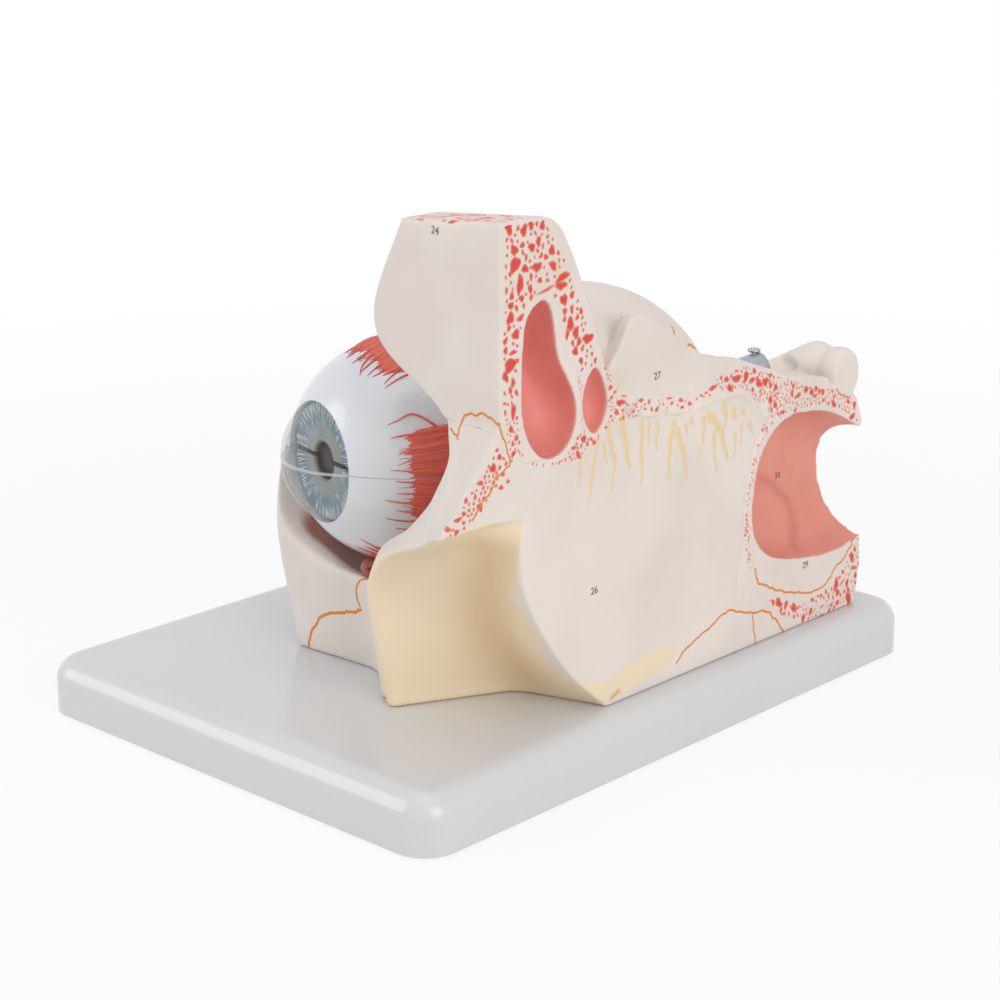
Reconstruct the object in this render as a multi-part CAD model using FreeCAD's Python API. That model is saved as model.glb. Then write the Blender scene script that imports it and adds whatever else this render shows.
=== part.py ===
import FreeCAD, Part
import math
import os
from FreeCAD import Matrix, Placement, Rotation, Vector

os.makedirs("parts", exist_ok=True)

# Eye in its bony orbit, three times life size, on a base.  Millimetres.
# +X points to the median plane of the head, +Y to the back of the head, +Z up.
# The origin is the centre of the base's footprint, on the surface that it stands on.

# ---------------------------------------------------------------- base
baseWidth = 190.0           # along X
baseLength = 260.0          # along Y
baseTop = 21.0              # height of the upper face above the table
baseCorner = 12.0           # upright corners
baseEdgeRound = 9.0         # rolled upper edge
baseWall = 3.0
ribThickness = 2.0
ribPitch = 26.0             # widest spacing of the ribs under the base
footRadius = 6.0
footThickness = 3.0
footProud = 1.0             # how far a foot stands out below the base's rim
footInset = 17.0            # foot centre from the two nearest sides
bossWall = 2.2

# ---------------------------------------------------------------- screws under the castings
screwRadius = 2.0
screwHeadRadius = 4.0
screwHeadHeight = 2.5
screwSeat = 6.0             # thickness of base that a screw clamps
screwDepth = 12.0           # thread inside a casting
screwClearance = 0.2
screwHeadClearance = 0.4
screwSlot = 1.0             # width and depth
pilotSpare = 0.5            # pilot hole beyond the thread's end
screwPlaces = [(4.0, -30.0), (16.0, 22.0), (68.0, 8.0), (66.0, 92.0)]

# ---------------------------------------------------------------- median section
cutX = 84.0                 # the castings are sawn along this plane
blockTop = 189.4            # highest edge of the frontal bone
blockTopFall = 0.09         # the sawn top falls this much per millimetre to the side
foreheadY = -84.5           # front of the forehead at its outer edge
foreheadBulge = 2.0         # and how much further forward it is at the median plane
frontalFloor = 113.0        # lower joint of the frontal bone
frontalBack = -35.0         # joint between the frontal bone and the parts behind it
nasionHeight = 125.0        # joint between forehead and nasal bone
nasalBack = -75.0           # the nasal bone lies in front of this
septumBack = 42.0           # joint between the septum and the sphenoid
septumSide = 50.0           # side of the ethmoid that walls the orbit
cartilageTop = 98.0         # sloping joint between cartilage and septum: height
cartilageTopY = -75.0       # and place at its upper end
cartilageFootY = -34.0      # and place at the base
cartilageSide = 24.0        # side of the cartilage that meets the maxilla
faceSpare = 14.0            # the face's stock beyond the median cut
nasionSpare = 3.0           # and above its joint with the forehead
nasionRoot = 3.5            # the root narrows from this far below that joint
faceBack = -10.0
crestThickness = 5.0

# ---------------------------------------------------------------- eyeball
eyeCentre = Vector(-6.0, -38.0, 94.4)
gazeTurn = 14.6             # degrees that the eye looks away from the median plane
scleraRadius = 39.0
scleraWall = 3.5
shellGap = 0.3              # between nested shells, and between the lens and its ring
choroidWall = 2.0
retinaWall = 1.0
limbusRadius = 21.0         # window of the sclera that the cornea fills
corneaRadius = 25.0
corneaWall = 1.5
corneaSkirt = 1.5           # straight rim of the cornea inside the window
irisThickness = 1.3
irisGap = 0.4               # between the iris and the cornea's rim
pupilRadius = 6.5
lensRadius = 13.5
lensThickness = 10.6
ciliaryLength = 6.0
lensRoom = 0.6              # iris to lens
vitreousDish = 0.3          # lens to vitreous
muscleThickness = 1.4
discRadius = 5.5            # optic nerve
nerveDrop = 7.0             # nerve axis below the eye's seam
nerveReach = 46.0           # from the eye's centre to the end of the stub
pinRadius = 0.8
pinLength = 3.2             # each way from the seam
pinClearance = 0.25
scleraPinTurns = (100.0, 118.0, 230.0, 290.0)   # degrees from the gaze, seen from above
ringPinOffset = 4.5         # pins of the inner eye, outside the lens

# ---------------------------------------------------------------- room for the eye
orbitRadius = 46.0          # hollow that the eye sits in
coneRadius = 40.0           # funnel behind the eye, at the eye's centre
coneSpare = 3.0             # and round the nerve at the canal's mouth
liftRadius = 47.5           # shaft above the nerve stub, kept clear so that the eye lifts out
rimRadius = 52.0            # rounded side wall towards the nose
rimFloor = 62.0
rimTop = 130.0
rimHeight = 92.0            # top of the cheek's rim
lipHeight = 54.5            # lowest place of the rim, in front of the eye
rimRound = 12.0
roofSide = 15.0             # outer edge of the orbit's roof

# ---------------------------------------------------------------- sinuses
frontalSinusDepth = 15.0
ethmoidCellDepth = 7.0
sphenoidSinusDepth = 22.0
sinusProud = 1.0            # the cutting tools start this far outside the sawn face
skullBack = 112.0           # sawn back face of the sphenoid

# ---------------------------------------------------------------- roof of the orbit and saddle behind it
domeCentre = Vector(50.0, -12.0, 105.0)
domeRadii = (46.0, 52.5, 51.0)
tailCentre = Vector(66.0, 26.0, 104.0)      # low vault behind the dome
tailRadii = (30.0, 40.0, 23.0)
vaultCentre = Vector(24.0, 2.0, 90.0)       # underside of the roof
vaultRadii = (29.0, 52.0, 44.0)
saddleTop = 125.0                           # top of the sphenoid where it meets the crest
outerKnobCentre = Vector(80.0, 99.2, 110.9)
outerKnobRadii = (9.0, 8.3, 9.8)
innerKnobCentre = Vector(70.5, 99.0, 112.0)
innerKnobRadii = (8.5, 8.5, 9.3)
ridgeStart = Vector(56.0, 88.0, 108.5)
ridgeEnd = Vector(68.0, 97.0, 112.5)
ridgeStartRadius = 4.5
ridgeEndRadius = 7.5

# ---------------------------------------------------------------- nerve in the orbit
canalEnd = Vector(61.0, 80.5, 114.3)
canalMouth = Vector(47.0, 50.0, 106.0)
nerveGap = 0.3
canalClearance = 0.4
nerveBend = 34.0
nerveStraight = 14.0        # first run behind the eye
nerveEndRound = 2.5
eyeletBack = 5.0            # eyelet to the end of the nerve
eyeletRadius = 1.8          # ring, to the middle of its wire
eyeletWire = 0.6
eyeletProud = 1.4           # ring above the nerve
eyeletNeckRadius = 1.0
eyeletNeckDepth = 1.6       # neck inside the nerve
eyeletPlate = 0.5
obliqueRoot = Vector(7.0, -18.0, -44.0)     # from the eye's centre
obliqueRadius = 2.2
obliqueReach = 44.0         # from the eye's centre
obliqueBend = 7.0

far = 300.0                 # longer than anything in the model

# ---------------------------------------------------------------- worked out from the above
choroidRadius = scleraRadius - scleraWall - shellGap
retinaRadius = choroidRadius - choroidWall
vitreousRadius = retinaRadius - retinaWall - shellGap
limbusPlane = math.sqrt(scleraRadius ** 2 - limbusRadius ** 2)
irisFront = limbusPlane - corneaSkirt - irisGap
irisBack = irisFront - irisThickness
irisRadius = limbusRadius - 2 * shellGap
lensFront = irisBack - lensRoom
lensBack = lensFront - lensThickness
lensMiddle = (lensFront + lensBack) / 2
ringFront = irisBack
ringBack = ringFront - ciliaryLength


# ================================================================ helpers
def block(x0, x1, y0, y1, z0, z1):
    return Part.makeBox(x1 - x0, y1 - y0, z1 - z0, Vector(x0, y0, z0))


def roundedLoop(corners, z):
    """Closed outline at height z.  Each corner is (x, y, radius)."""
    places = [Vector(x, y, z) for x, y, r in corners]
    edges, starts, ends = [], [], []
    for i, (x, y, radius) in enumerate(corners):
        here, before, after = places[i], places[i - 1], places[(i + 1) % len(places)]
        inward, outward = (before - here), (after - here)
        half = inward.getAngle(outward) / 2
        reach = radius / math.tan(half)
        inward.normalize()
        outward.normalize()
        start, end = here + inward * reach, here + outward * reach
        bisector = inward + outward
        bisector.normalize()
        middle = here + bisector * (radius / math.sin(half) - radius)
        edges.append(Part.Arc(start, middle, end).toShape())
        starts.append(start)
        ends.append(end)
    joined = []
    for i, arc in enumerate(edges):
        joined.append(arc)
        joined.append(Part.LineSegment(ends[i], starts[(i + 1) % len(starts)]).toShape())
    return Part.Wire(joined)


def loft(levels, ruled=False):
    """Solid through outlines at several heights: [(z, corners), ...]."""
    return Part.makeLoft([roundedLoop(corners, z) for z, corners in levels], True, ruled)


def sagittalPrism(outline, x0, x1):
    """Outline in the YZ plane, drawn out along X."""
    points = [Vector(x0, y, z) for y, z in outline]
    face = Part.Face(Part.makePolygon(points + points[:1]))
    return face.extrude(Vector(x1 - x0, 0, 0))


def ellipsoid(centre, radii):
    stretch = Matrix()
    stretch.scale(Vector(*radii))
    ball = Part.makeSphere(1.0).transformGeometry(stretch)
    ball.translate(Vector(*centre))
    return ball


def above(point, normal):
    """Everything on the side of a plane that its normal points to."""
    slab = Part.makeBox(2 * far, 2 * far, far, Vector(-far, -far, 0))
    slab.Placement = Placement(point, Rotation(Vector(0, 0, 1), normal)).multiply(slab.Placement)
    return slab


def pipe(points, radius, bend):
    """Round bar along straight runs joined by arcs of one radius."""
    edges, last = [], points[0]
    for before, here, after in zip(points, points[1:], points[2:]):
        inward, outward = (before - here), (after - here)
        half = inward.getAngle(outward) / 2
        inward.normalize()
        outward.normalize()
        reach = bend / math.tan(half)
        start, end = here + inward * reach, here + outward * reach
        bisector = inward + outward
        bisector.normalize()
        middle = here + bisector * (bend / math.sin(half) - bend)
        edges += [Part.LineSegment(last, start).toShape(), Part.Arc(start, middle, end).toShape()]
        last = end
    edges.append(Part.LineSegment(last, points[-1]).toShape())
    direction = points[1] - points[0]
    ring = Part.Wire(Part.makeCircle(radius, points[0], direction))
    return Part.Wire(edges).makePipeShell([ring], True, False)


def single(shape):
    """The one solid of a shape, with needless seams taken out."""
    solids = shape.Solids
    if len(solids) > 1:
        solids = [max(solids, key=lambda s: s.Volume)]
    return solids[0].removeSplitter()


def save(name, shape):
    if not shape.Solids:
        raise ValueError(name + " has no solid")
    Part.Compound(shape.Solids).exportStep("parts/" + name + ".step")
    print(name, len(shape.Solids), round(shape.Volume), shape.isValid())


# ================================================================ base
def screwHoles():
    holes = []
    for x, y in screwPlaces:
        seat = baseTop - screwSeat
        holes.append(Part.makeCylinder(screwHeadRadius + screwHeadClearance, seat, Vector(x, y, 0)))
        holes.append(Part.makeCylinder(screwRadius + screwClearance, far, Vector(x, y, 0)))
    return Part.Compound(holes)


def footPlaces():
    reachX, reachY = baseWidth / 2 - footInset, baseLength / 2 - footInset
    return [(sx * reachX, sy * reachY) for sx in (-1, 1) for sy in (-1, 1)]


def makeBase():
    plate = block(-baseWidth / 2, baseWidth / 2, -baseLength / 2, baseLength / 2, footProud, baseTop)
    upright = [e for e in plate.Edges if abs(e.tangentAt(e.FirstParameter).z) > 0.99]
    plate = plate.makeFillet(baseCorner, upright)
    upper = [e for e in plate.Edges if e.BoundBox.ZMin > baseTop - 0.01]
    plate = plate.makeFillet(baseEdgeRound, upper)

    # pockets between the ribs
    innerX, innerY = baseWidth - 2 * baseWall, baseLength - 2 * baseWall
    countX, countY = math.ceil(innerX / ribPitch), math.ceil(innerY / ribPitch)
    pitchX, pitchY = innerX / countX, innerY / countY
    ceiling = baseTop - baseWall
    pockets = []
    for i in range(countX):
        for j in range(countY):
            x = -innerX / 2 + i * pitchX + ribThickness / 2
            y = -innerY / 2 + j * pitchY + ribThickness / 2
            pocketX, pocketY = pitchX - ribThickness, pitchY - ribThickness
            edge = i in (0, countX - 1) or j in (0, countY - 1)
            top = ceiling - baseEdgeRound / 2 if edge else ceiling
            corner = i in (0, countX - 1) and j in (0, countY - 1)
            if not corner:
                pockets.append(block(x, x + pocketX, y, y + pocketY, 0, top))
    bosses = [Part.makeCylinder(screwHeadRadius + bossWall, baseTop, Vector(x, y, 0))
              for x, y in screwPlaces]
    hollow = Part.Compound(pockets).cut(Part.Compound(bosses))
    plate = plate.cut(hollow).cut(screwHoles())
    recess = [Part.makeCylinder(footRadius, footThickness, Vector(x, y, 0)) for x, y in footPlaces()]
    return single(plate.cut(Part.Compound(recess)))


def makeFeet():
    feet = [Part.makeCylinder(footRadius, footThickness, Vector(x, y, 0)) for x, y in footPlaces()]
    return Part.Compound(feet)


def makeScrews():
    screws = []
    for x, y in screwPlaces:
        seat = baseTop - screwSeat
        head = Part.makeCylinder(screwHeadRadius, screwHeadHeight, Vector(x, y, seat - screwHeadHeight))
        shank = Part.makeCylinder(screwRadius, screwSeat + screwDepth, Vector(x, y, seat))
        slot = block(x - screwHeadRadius, x + screwHeadRadius, y - screwSlot / 2, y + screwSlot / 2,
                     seat - screwHeadHeight, seat - screwHeadHeight + screwSlot)
        screws.append(head.fuse(shank).cut(slot).removeSplitter())
    return Part.Compound(screws)


def pilotHoles():
    return Part.Compound([Part.makeCylinder(screwRadius, screwDepth + pilotSpare, Vector(x, y, baseTop))
                          for x, y in screwPlaces])


# ================================================================ hollow of the orbit
def orbitHollow():
    """Space round the eye: a bowl, a shaft above it, a rounded wall to the nose, a cone behind."""
    bowl = Part.makeSphere(orbitRadius, eyeCentre)
    shaft = Part.makeCylinder(orbitRadius, far, eyeCentre)
    nose = Part.makeCylinder(rimRadius, rimTop - rimFloor, Vector(eyeCentre.x, eyeCentre.y, rimFloor))
    nose = nose.makeFillet(rimRound, [e for e in nose.Edges if e.BoundBox.ZLength < 0.01])
    towards = canalMouth - eyeCentre
    cone = Part.makeCone(coneRadius, discRadius + coneSpare, towards.Length, eyeCentre, towards)
    return {"bowl": bowl, "shaft": shaft, "nose": nose, "cone": cone}


def hollowOut(bone, hollow, names):
    for name in names:
        bone = bone.cut(hollow[name])
    return bone


def nerveDirection():
    flat = canalMouth - eyeCentre
    flat.z = 0
    flat.normalize()
    return flat


def nervePath():
    start = eyeCentre + nerveDirection() * (nerveReach + nerveGap) - Vector(0, 0, nerveDrop)
    return [start, start + nerveDirection() * nerveStraight, canalMouth, canalEnd]


def canalTool():
    points = nervePath()
    onward = points[-1] - points[-2]
    points[-1] = points[-1] + onward.normalize() * 2 * discRadius
    return pipe(points, discRadius + canalClearance, nerveBend)


# ================================================================ bones
def frontalStock():
    """Forehead: (height, side of the front, back at the median plane)."""
    profile = [(98, 55, -34), (109, 57.7, -34), (116, 59.5, -34), (122, 58.5, -34), (127, 55, -34.5),
               (133, 46.5, -35), (139, 36, -36.5), (146, 28, -39), (154, 26, -42.4), (166, 29.5, -47.6),
               (178, 35.5, -53.6), (186, 39.5, -58.2), (196, 44.5, -66)]
    levels = []
    for z, side, back in profile:
        levels.append((z, [(side, foreheadY + 1.5, 2.5), (cutX + 12, foreheadY - foreheadBulge, 2.0),
                           (cutX + 12, back + 1.5, 2.0), (side - 1.5, back - 5.0, 6.0)]))
    return loft(levels)


def dugOut(outline, depth):
    """Bowl-shaped recess in the sawn face, through a smooth closed outline of (y, z) points."""
    middleY = sum(y for y, z in outline) / len(outline)
    middleZ = sum(z for y, z in outline) / len(outline)
    wires = []
    for share, scale in ((-sinusProud / depth, 1.0), (0.0, 1.0), (0.5, 0.92), (0.85, 0.68), (1.0, 0.3)):
        points = [Vector(cutX - share * depth, middleY + (y - middleY) * scale, middleZ + (z - middleZ) * scale)
                  for y, z in outline]
        curve = Part.BSplineCurve()
        curve.interpolate(points, PeriodicFlag=True)
        wires.append(Part.Wire(curve.toShape()))
    return Part.makeLoft(wires, True)


def frontalSinus():
    return dugOut([(-66.8, 163), (-72.5, 159), (-74.8, 147), (-75.3, 133), (-72.5, 121), (-64, 112.8),
                   (-55, 114.3), (-49.8, 124), (-52.5, 134), (-58.5, 144), (-61, 156)], frontalSinusDepth)


def ethmoidCell():
    return dugOut([(-42, 137.5), (-46.2, 131), (-45.5, 121.5), (-40.5, 116.4), (-35.8, 121.5),
                   (-36.5, 132)], ethmoidCellDepth)


def sphenoidSinus():
    return dugOut([(58, 99.5), (48.5, 90), (45, 76), (46.5, 62), (55, 53), (70, 48.2), (88, 45.5),
                   (108, 47), (124, 60), (122, 80), (106, 91), (90, 98.5), (74, 101.6)], sphenoidSinusDepth)


def makeFrontal(hollow):
    bone = frontalStock().common(block(-far, cutX, -far, frontalBack, frontalFloor, far))
    bone = bone.cut(block(-far, far, -far, nasalBack, 0, nasionHeight))
    bone = bone.cut(above(Vector(cutX, foreheadY, blockTop), Vector(-blockTopFall, 0, 1)))
    bone = hollowOut(bone, hollow, ("nose", "shaft"))
    return single(bone.cut(frontalSinus()).cut(ethmoidCell()))


def faceStock():
    """Nose side of the face: nasal bone, dished cartilage and the septum behind it.

    Each level runs: side wall, outer edge, front edge, dish, septum, beyond the median cut, back.
    """
    levels = []
    for z, inner, outer, front, dish, septum in [
            (15, 18, (24, -77), (31, -83, 2), (51, -41, 14), (79, -32, 3)),
            (24, 18, (24, -77), (31, -84, 2), (52, -44, 14), (81, -37, 3)),
            (35, 18, (23, -79), (29.5, -86, 3), (54, -50, 14), (83, -49.5, 2.5)),
            (50, 18, (21, -80), (27.5, -87, 3), (57, -58, 14), (83.3, -62, 2.5)),
            (64, 18, (21, -80), (27, -88, 3), (60, -66, 14), (83.4, -71, 2.5)),
            (74, 21, (25, -80), (34, -90, 3), (63, -73, 12), (83.4, -75, 2)),
            (84, 36, (40, -84), (55, -98, 3), (66, -80, 9), (83.4, -75.5, 2)),
            (91, 43, (47.5, -84), (72, -107, 2), (73, -89, 7), (83.4, -75, 2)),
            (96, 47, (52, -84), (82, -114, 1.5), (80, -98, 4), (84.5, -74, 2)),
            (100, 49, (54.5, -84), (90, -115, 1.5), (93, -102, 2), (94, -84, 2)),
            (106, 50, (58, -84), (90, -109, 1.5), (93, -99, 2), (94, -84, 2)),
            (114, 52, (61, -84), (90, -100, 1.5), (93, -93, 2), (94, -82, 2)),
            (max(121.5, nasionHeight - nasionRoot), 52, (60, -83.5), (90, -91, 1.5), (93, -88, 2), (94, -80, 2)),
            (max(128, nasionHeight + nasionSpare), 52, (56, -83), (90, -86.5, 1.5), (93, -84, 0.5),
             (94, -80, 0.5))]:
        levels.append((z, [(inner, 0, 1), (inner, -70, 1), outer + (1.5,), front, dish, septum,
                           (cutX + faceSpare, septum[1] + 2, 0.5), (cutX + faceSpare, 0, 1)]))
    return loft(levels)


def makeFace(hollow):
    """Cartilage, septum and nasal bone, parted by flat joints."""
    stock = faceStock().common(block(cartilageSide, cutX, -far, faceBack, baseTop, nasionHeight))
    stock = stock.cut(block(-far, far, nasalBack, far, frontalFloor, far))
    stock = hollowOut(stock, hollow, ("nose", "bowl", "shaft", "cone"))

    # the nasal bone is a wedge: thick at the median plane, thin at its lower outer end
    tip, root, side = Vector(cutX, -98, 100), Vector(cutX, -81, 116), Vector(36, -84, 74)
    outward = (root - tip).cross(side - tip)
    wedge = above(tip, outward).common(block(-far, far, -far, nasalBack, 0, far))
    wedge = wedge.fuse(block(-far, far, -far, nasalBack, frontalFloor, far))
    nasal = stock.common(wedge)
    rest = stock.cut(wedge)

    run, rise = cartilageFootY - cartilageTopY, cartilageTop - baseTop
    front = above(Vector(0, cartilageFootY, baseTop), Vector(0, -rise, -run))
    front = front.common(block(-far, far, -far, far, 0, cartilageTop))
    cartilage = rest.common(front)
    septum = rest.cut(front)
    slab = block(septumSide, cutX, faceBack, septumBack, baseTop, frontalFloor)
    upper = block(septumSide, cutX, frontalBack, faceBack, frontalFloor - 10, frontalFloor)
    septum = hollowOut(septum.fuse(slab).fuse(upper), hollow, ("cone",))
    septum = septum.cut(canalTool()).cut(pilotHoles()).cut(frontalSinus()).cut(ethmoidCell())
    return single(cartilage), single(septum), single(nasal)


def makeCrest():
    """Crista galli: a rounded plate on the sawn face, behind the forehead.  Heights are above its foot."""
    profile = [(septumBack, saddleTop - frontalFloor), (34, 15), (24, 17), (14, 19.5), (6, 24), (-2, 29.5),
               (-10, 35), (-18, 38.5), (-23, 39), (-26, 35), (-28, 31), (-31, 27), (frontalBack, 22.5)]
    outline = [(frontalBack, frontalFloor), (septumBack, frontalFloor)]
    outline += [(y, frontalFloor + rise) for y, rise in profile]
    crest = sagittalPrism(outline, cutX - crestThickness, cutX)
    return single(crest.cut(ethmoidCell()).cut(canalTool()))


def makeRoof(hollow):
    dome = ellipsoid(domeCentre, domeRadii)
    tail = ellipsoid(tailCentre, tailRadii)
    inner = ellipsoid(vaultCentre, vaultRadii)
    lift = Part.makeCylinder(liftRadius, far, Vector(eyeCentre.x, eyeCentre.y, 0))
    shell = dome.fuse(tail).cut(inner).cut(lift)
    shell = shell.common(block(roofSide, cutX - crestThickness, frontalBack, septumBack, frontalFloor, far))
    shell = hollowOut(shell, hollow, ("nose", "cone"))
    return single(shell.cut(canalTool()).cut(ethmoidCell()))


def makeSphenoid(hollow):
    outline = [(septumBack, baseTop), (skullBack - 1, baseTop), (skullBack, 32.5), (skullBack + 1, 36.3),
               (skullBack, 46.9), (skullBack + 1, 51.5), (109.1, 87.6), (110.3, 92), (106, 102.1),
               (90.2, 107.2), (87.3, 112.1), (63.6, 117), (50.2, 122.1), (septumBack, saddleTop)]
    stock = sagittalPrism(outline, 20, cutX)
    plan = loft([(baseTop - 5, [(96, septumBack, 1), (96, skullBack + 3, 1), (58, skullBack + 1, 12),
                                (36, 78, 14), (26, septumBack, 1)]),
                 (75, [(96, septumBack, 1), (96, skullBack + 3, 1), (58, skullBack + 1, 12),
                       (38, 78, 14), (30, septumBack, 1)]),
                 (140, [(96, septumBack, 1), (96, skullBack + 3, 1), (56, skullBack - 4, 12),
                        (44, 78, 14), (38, septumBack, 1)])])
    bone = stock.common(plan)
    # back of the saddle: two knobs and the ridge that runs forward from them
    outerKnob = ellipsoid(outerKnobCentre, outerKnobRadii)
    innerKnob = ellipsoid(innerKnobCentre, innerKnobRadii)
    run = ridgeEnd - ridgeStart
    ridge = Part.makeCone(ridgeStartRadius, ridgeEndRadius, run.Length, ridgeStart, run)
    saddle = outerKnob.fuse(innerKnob).fuse(ridge).common(block(-far, cutX, septumBack, far, 0, far))
    bone = bone.fuse(saddle).cut(sphenoidSinus())
    return single(hollowOut(bone, hollow, ("cone",)).cut(canalTool()).cut(pilotHoles()))


def floorStock():
    """Cheek and floor of the orbit, up to the side of the nose."""
    inner = [(30, -84, 2), (54, -84, 2), (54, septumBack + 4, 2), (8, septumBack + 4, 16)]
    return loft([
        (15, [(-34, -62.5, 4), (4, -61, 14)] + inner + [(-22, 8, 24)]),
        (30, [(-43, -61.5, 5), (4, -61.5, 14)] + inner + [(-30, 4, 24)]),
        (45, [(-51, -59.5, 7), (4, -62, 14)] + inner + [(-37, 0, 24)]),
        (62, [(-56, -58.5, 9), (4, -62.5, 14)] + inner + [(-46, -5, 24)]),
        (75, [(-58.5, -54.5, 9), (4, -63, 14)] + inner + [(-52, -8, 24)]),
        (rimHeight + 2, [(-59.5, -48, 9), (4, -63, 14)] + inner + [(-54, -10, 20)]),
    ])


def makeFloor(hollow):
    stock = floorStock().common(block(-far, septumSide, -far, septumBack, baseTop, rimHeight))
    stock = stock.cut(block(cartilageSide, far, -far, faceBack, 0, far))
    # the cheek's rim falls away behind the eye, where the orbit is open to the side
    openSide = sagittalPrism([(-52, rimHeight), (-44, rimHeight - 4), (-20, rimHeight - 30),
                              (10, rimHeight - 34), (septumBack + 1, rimHeight - 28),
                              (septumBack + 1, far), (-52, far)], -far, far)
    stock = hollowOut(stock.cut(openSide), hollow, ("bowl", "shaft", "cone"))
    stock = stock.cut(hollow["nose"].common(block(eyeCentre.x, far, -far, far, 0, far))).cut(rimLip())
    stock = single(stock.cut(pilotHoles()).cut(makeOblique()))
    seam = above(Vector(-32, 0, 22), Vector(-1, 0, 0.86)).common(block(-far, -4, -far, 0, 0, far))
    return single(stock.cut(seam)), single(stock.common(seam))


def rimLip():
    """What the rim's sweep takes off: it falls from the cheek to its lowest place before the eye."""
    points = [Vector(x, 0, lipHeight + rise) for x, rise in
              [(-70, 60), (-58, 36), (-55, 26), (-52, 17), (-48, 11.5), (-42, 7.2), (-35.5, 4.4),
               (-29, 2.4), (-20, 0.7), (-10, 0), (cartilageSide, 0)]]
    sweep = Part.BSplineCurve()
    sweep.interpolate(points)
    over = [points[-1], Vector(cartilageSide, 0, far), Vector(-70, 0, far), points[0]]
    face = Part.Face(Part.Wire([sweep.toShape()] + Part.makePolygon(over).Edges))
    lip = face.extrude(Vector(0, far, 0))
    lip.translate(Vector(0, -far / 2, 0))
    return lip


def makeOblique():
    """Inferior oblique muscle: from the floor of the orbit round the underside of the eye."""
    root = eyeCentre + obliqueRoot
    under = [Vector(0.11, -0.48, -0.87), Vector(-0.30, -0.33, -0.895), Vector(-0.62, -0.10, -0.78)]
    points = [root] + [eyeCentre + direction * obliqueReach for direction in under]
    return pipe(points, obliqueRadius, obliqueBend)


# ================================================================ eyeball, in its own frame
def toOrbit(shape):
    moved = shape.copy()
    moved.Placement = Placement(eyeCentre, Rotation(Vector(0, 0, 1), 270 - gazeTurn)).multiply(moved.Placement)
    return moved


def upperHalf(shape):
    return shape.common(block(-far, far, -far, far, 0, far))


def lowerHalf(shape):
    return shape.common(block(-far, far, -far, far, -far, 0))


def nerveLocal():
    """Direction of the nerve in the eye's own frame."""
    return Rotation(Vector(0, 0, 1), gazeTurn - 270).multVec(nerveDirection())


def nerveStub(radius):
    start = Vector(0, 0, -nerveDrop)
    return Part.makeCylinder(radius, nerveReach, start, nerveLocal())


def alongGaze(radius, x0, x1):
    return Part.makeCylinder(radius, x1 - x0, Vector(x0, 0, 0), Vector(1, 0, 0))


def makeSclera():
    shell = Part.makeSphere(scleraRadius).cut(Part.makeSphere(scleraRadius - scleraWall))
    shell = shell.cut(alongGaze(limbusRadius, 10, far))
    stub = nerveStub(discRadius).cut(Part.makeSphere(scleraRadius - scleraWall))
    pins = pinPlaces(scleraRadius - scleraWall / 2, scleraPinTurns)
    lower = lowerHalf(shell).fuse(stub).cut(Part.Compound([pinHole(p, 0) for p in pins]))
    upper = upperHalf(shell).cut(Part.Compound([pinHole(p, pinClearance) for p in pins]))
    return single(lower), single(upper), pins


def pinPlaces(radius, angles):
    return [Vector(radius * math.cos(math.radians(a)), radius * math.sin(math.radians(a)), 0)
            for a in angles]


def pinHole(place, clearance):
    height = 2 * (pinLength + clearance)
    return Part.makeCylinder(pinRadius + clearance, height, place - Vector(0, 0, height / 2))


def makePins(places):
    return Part.Compound([pinHole(p, 0) for p in places])


def makeCornea():
    centre = limbusPlane - math.sqrt(corneaRadius ** 2 - limbusRadius ** 2)
    cap = Part.makeSphere(corneaRadius, Vector(centre, 0, 0)).cut(
        Part.makeSphere(corneaRadius - corneaWall, Vector(centre, 0, 0)))
    cap = cap.common(alongGaze(far, limbusPlane, far))
    skirt = alongGaze(limbusRadius, limbusPlane - corneaSkirt, limbusPlane).cut(
        alongGaze(limbusRadius - corneaWall, limbusPlane - corneaSkirt, limbusPlane))
    cornea = cap.fuse(skirt)
    return single(lowerHalf(cornea)), single(upperHalf(cornea))


def makeChoroid():
    shell = Part.makeSphere(choroidRadius).cut(Part.makeSphere(retinaRadius))
    shell = shell.cut(alongGaze(far, irisBack, far))
    lining = Part.makeSphere(retinaRadius).cut(Part.makeSphere(retinaRadius - retinaWall))
    lining = lining.cut(alongGaze(far, ringBack, far))
    ring = alongGaze(far, ringBack, ringFront).common(Part.makeSphere(retinaRadius))
    ring = ring.cut(alongGaze(lensRadius + shellGap, ringBack, ringFront))
    disc = alongGaze(irisRadius, irisBack, irisFront).cut(alongGaze(pupilRadius, irisBack, irisFront))
    middle = (ringFront + ringBack) / 2
    pins = [Vector(middle, s * (lensRadius + ringPinOffset), 0) for s in (-1, 1)]
    fixed = Part.Compound([pinHole(p, 0) for p in pins])
    loose = Part.Compound([pinHole(p, pinClearance) for p in pins])
    halves = {}
    for name, shape in (("choroid", shell), ("retina", lining), ("iris", disc)):
        halves[name] = (single(lowerHalf(shape)), single(upperHalf(shape)))
    halves["ciliary_body"] = (single(lowerHalf(ring).cut(fixed)), single(upperHalf(ring).cut(loose)))
    return halves, pins


def makeLens():
    """Lens of two spherical faces and a short rounded edge."""
    edge = 1.6
    bulge = (lensThickness - edge) / 2
    radius = (lensRadius ** 2 + bulge ** 2) / (2 * bulge)
    front = Part.makeSphere(radius, Vector(lensFront - radius, 0, 0))
    back = Part.makeSphere(radius, Vector(lensBack + radius, 0, 0))
    return front.common(back).common(alongGaze(lensRadius, lensBack - 1, lensFront + 1))


def makeVitreous():
    body = Part.makeSphere(vitreousRadius)
    return single(body.cut(alongGaze(far, lensBack - vitreousDish, far)))


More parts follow.
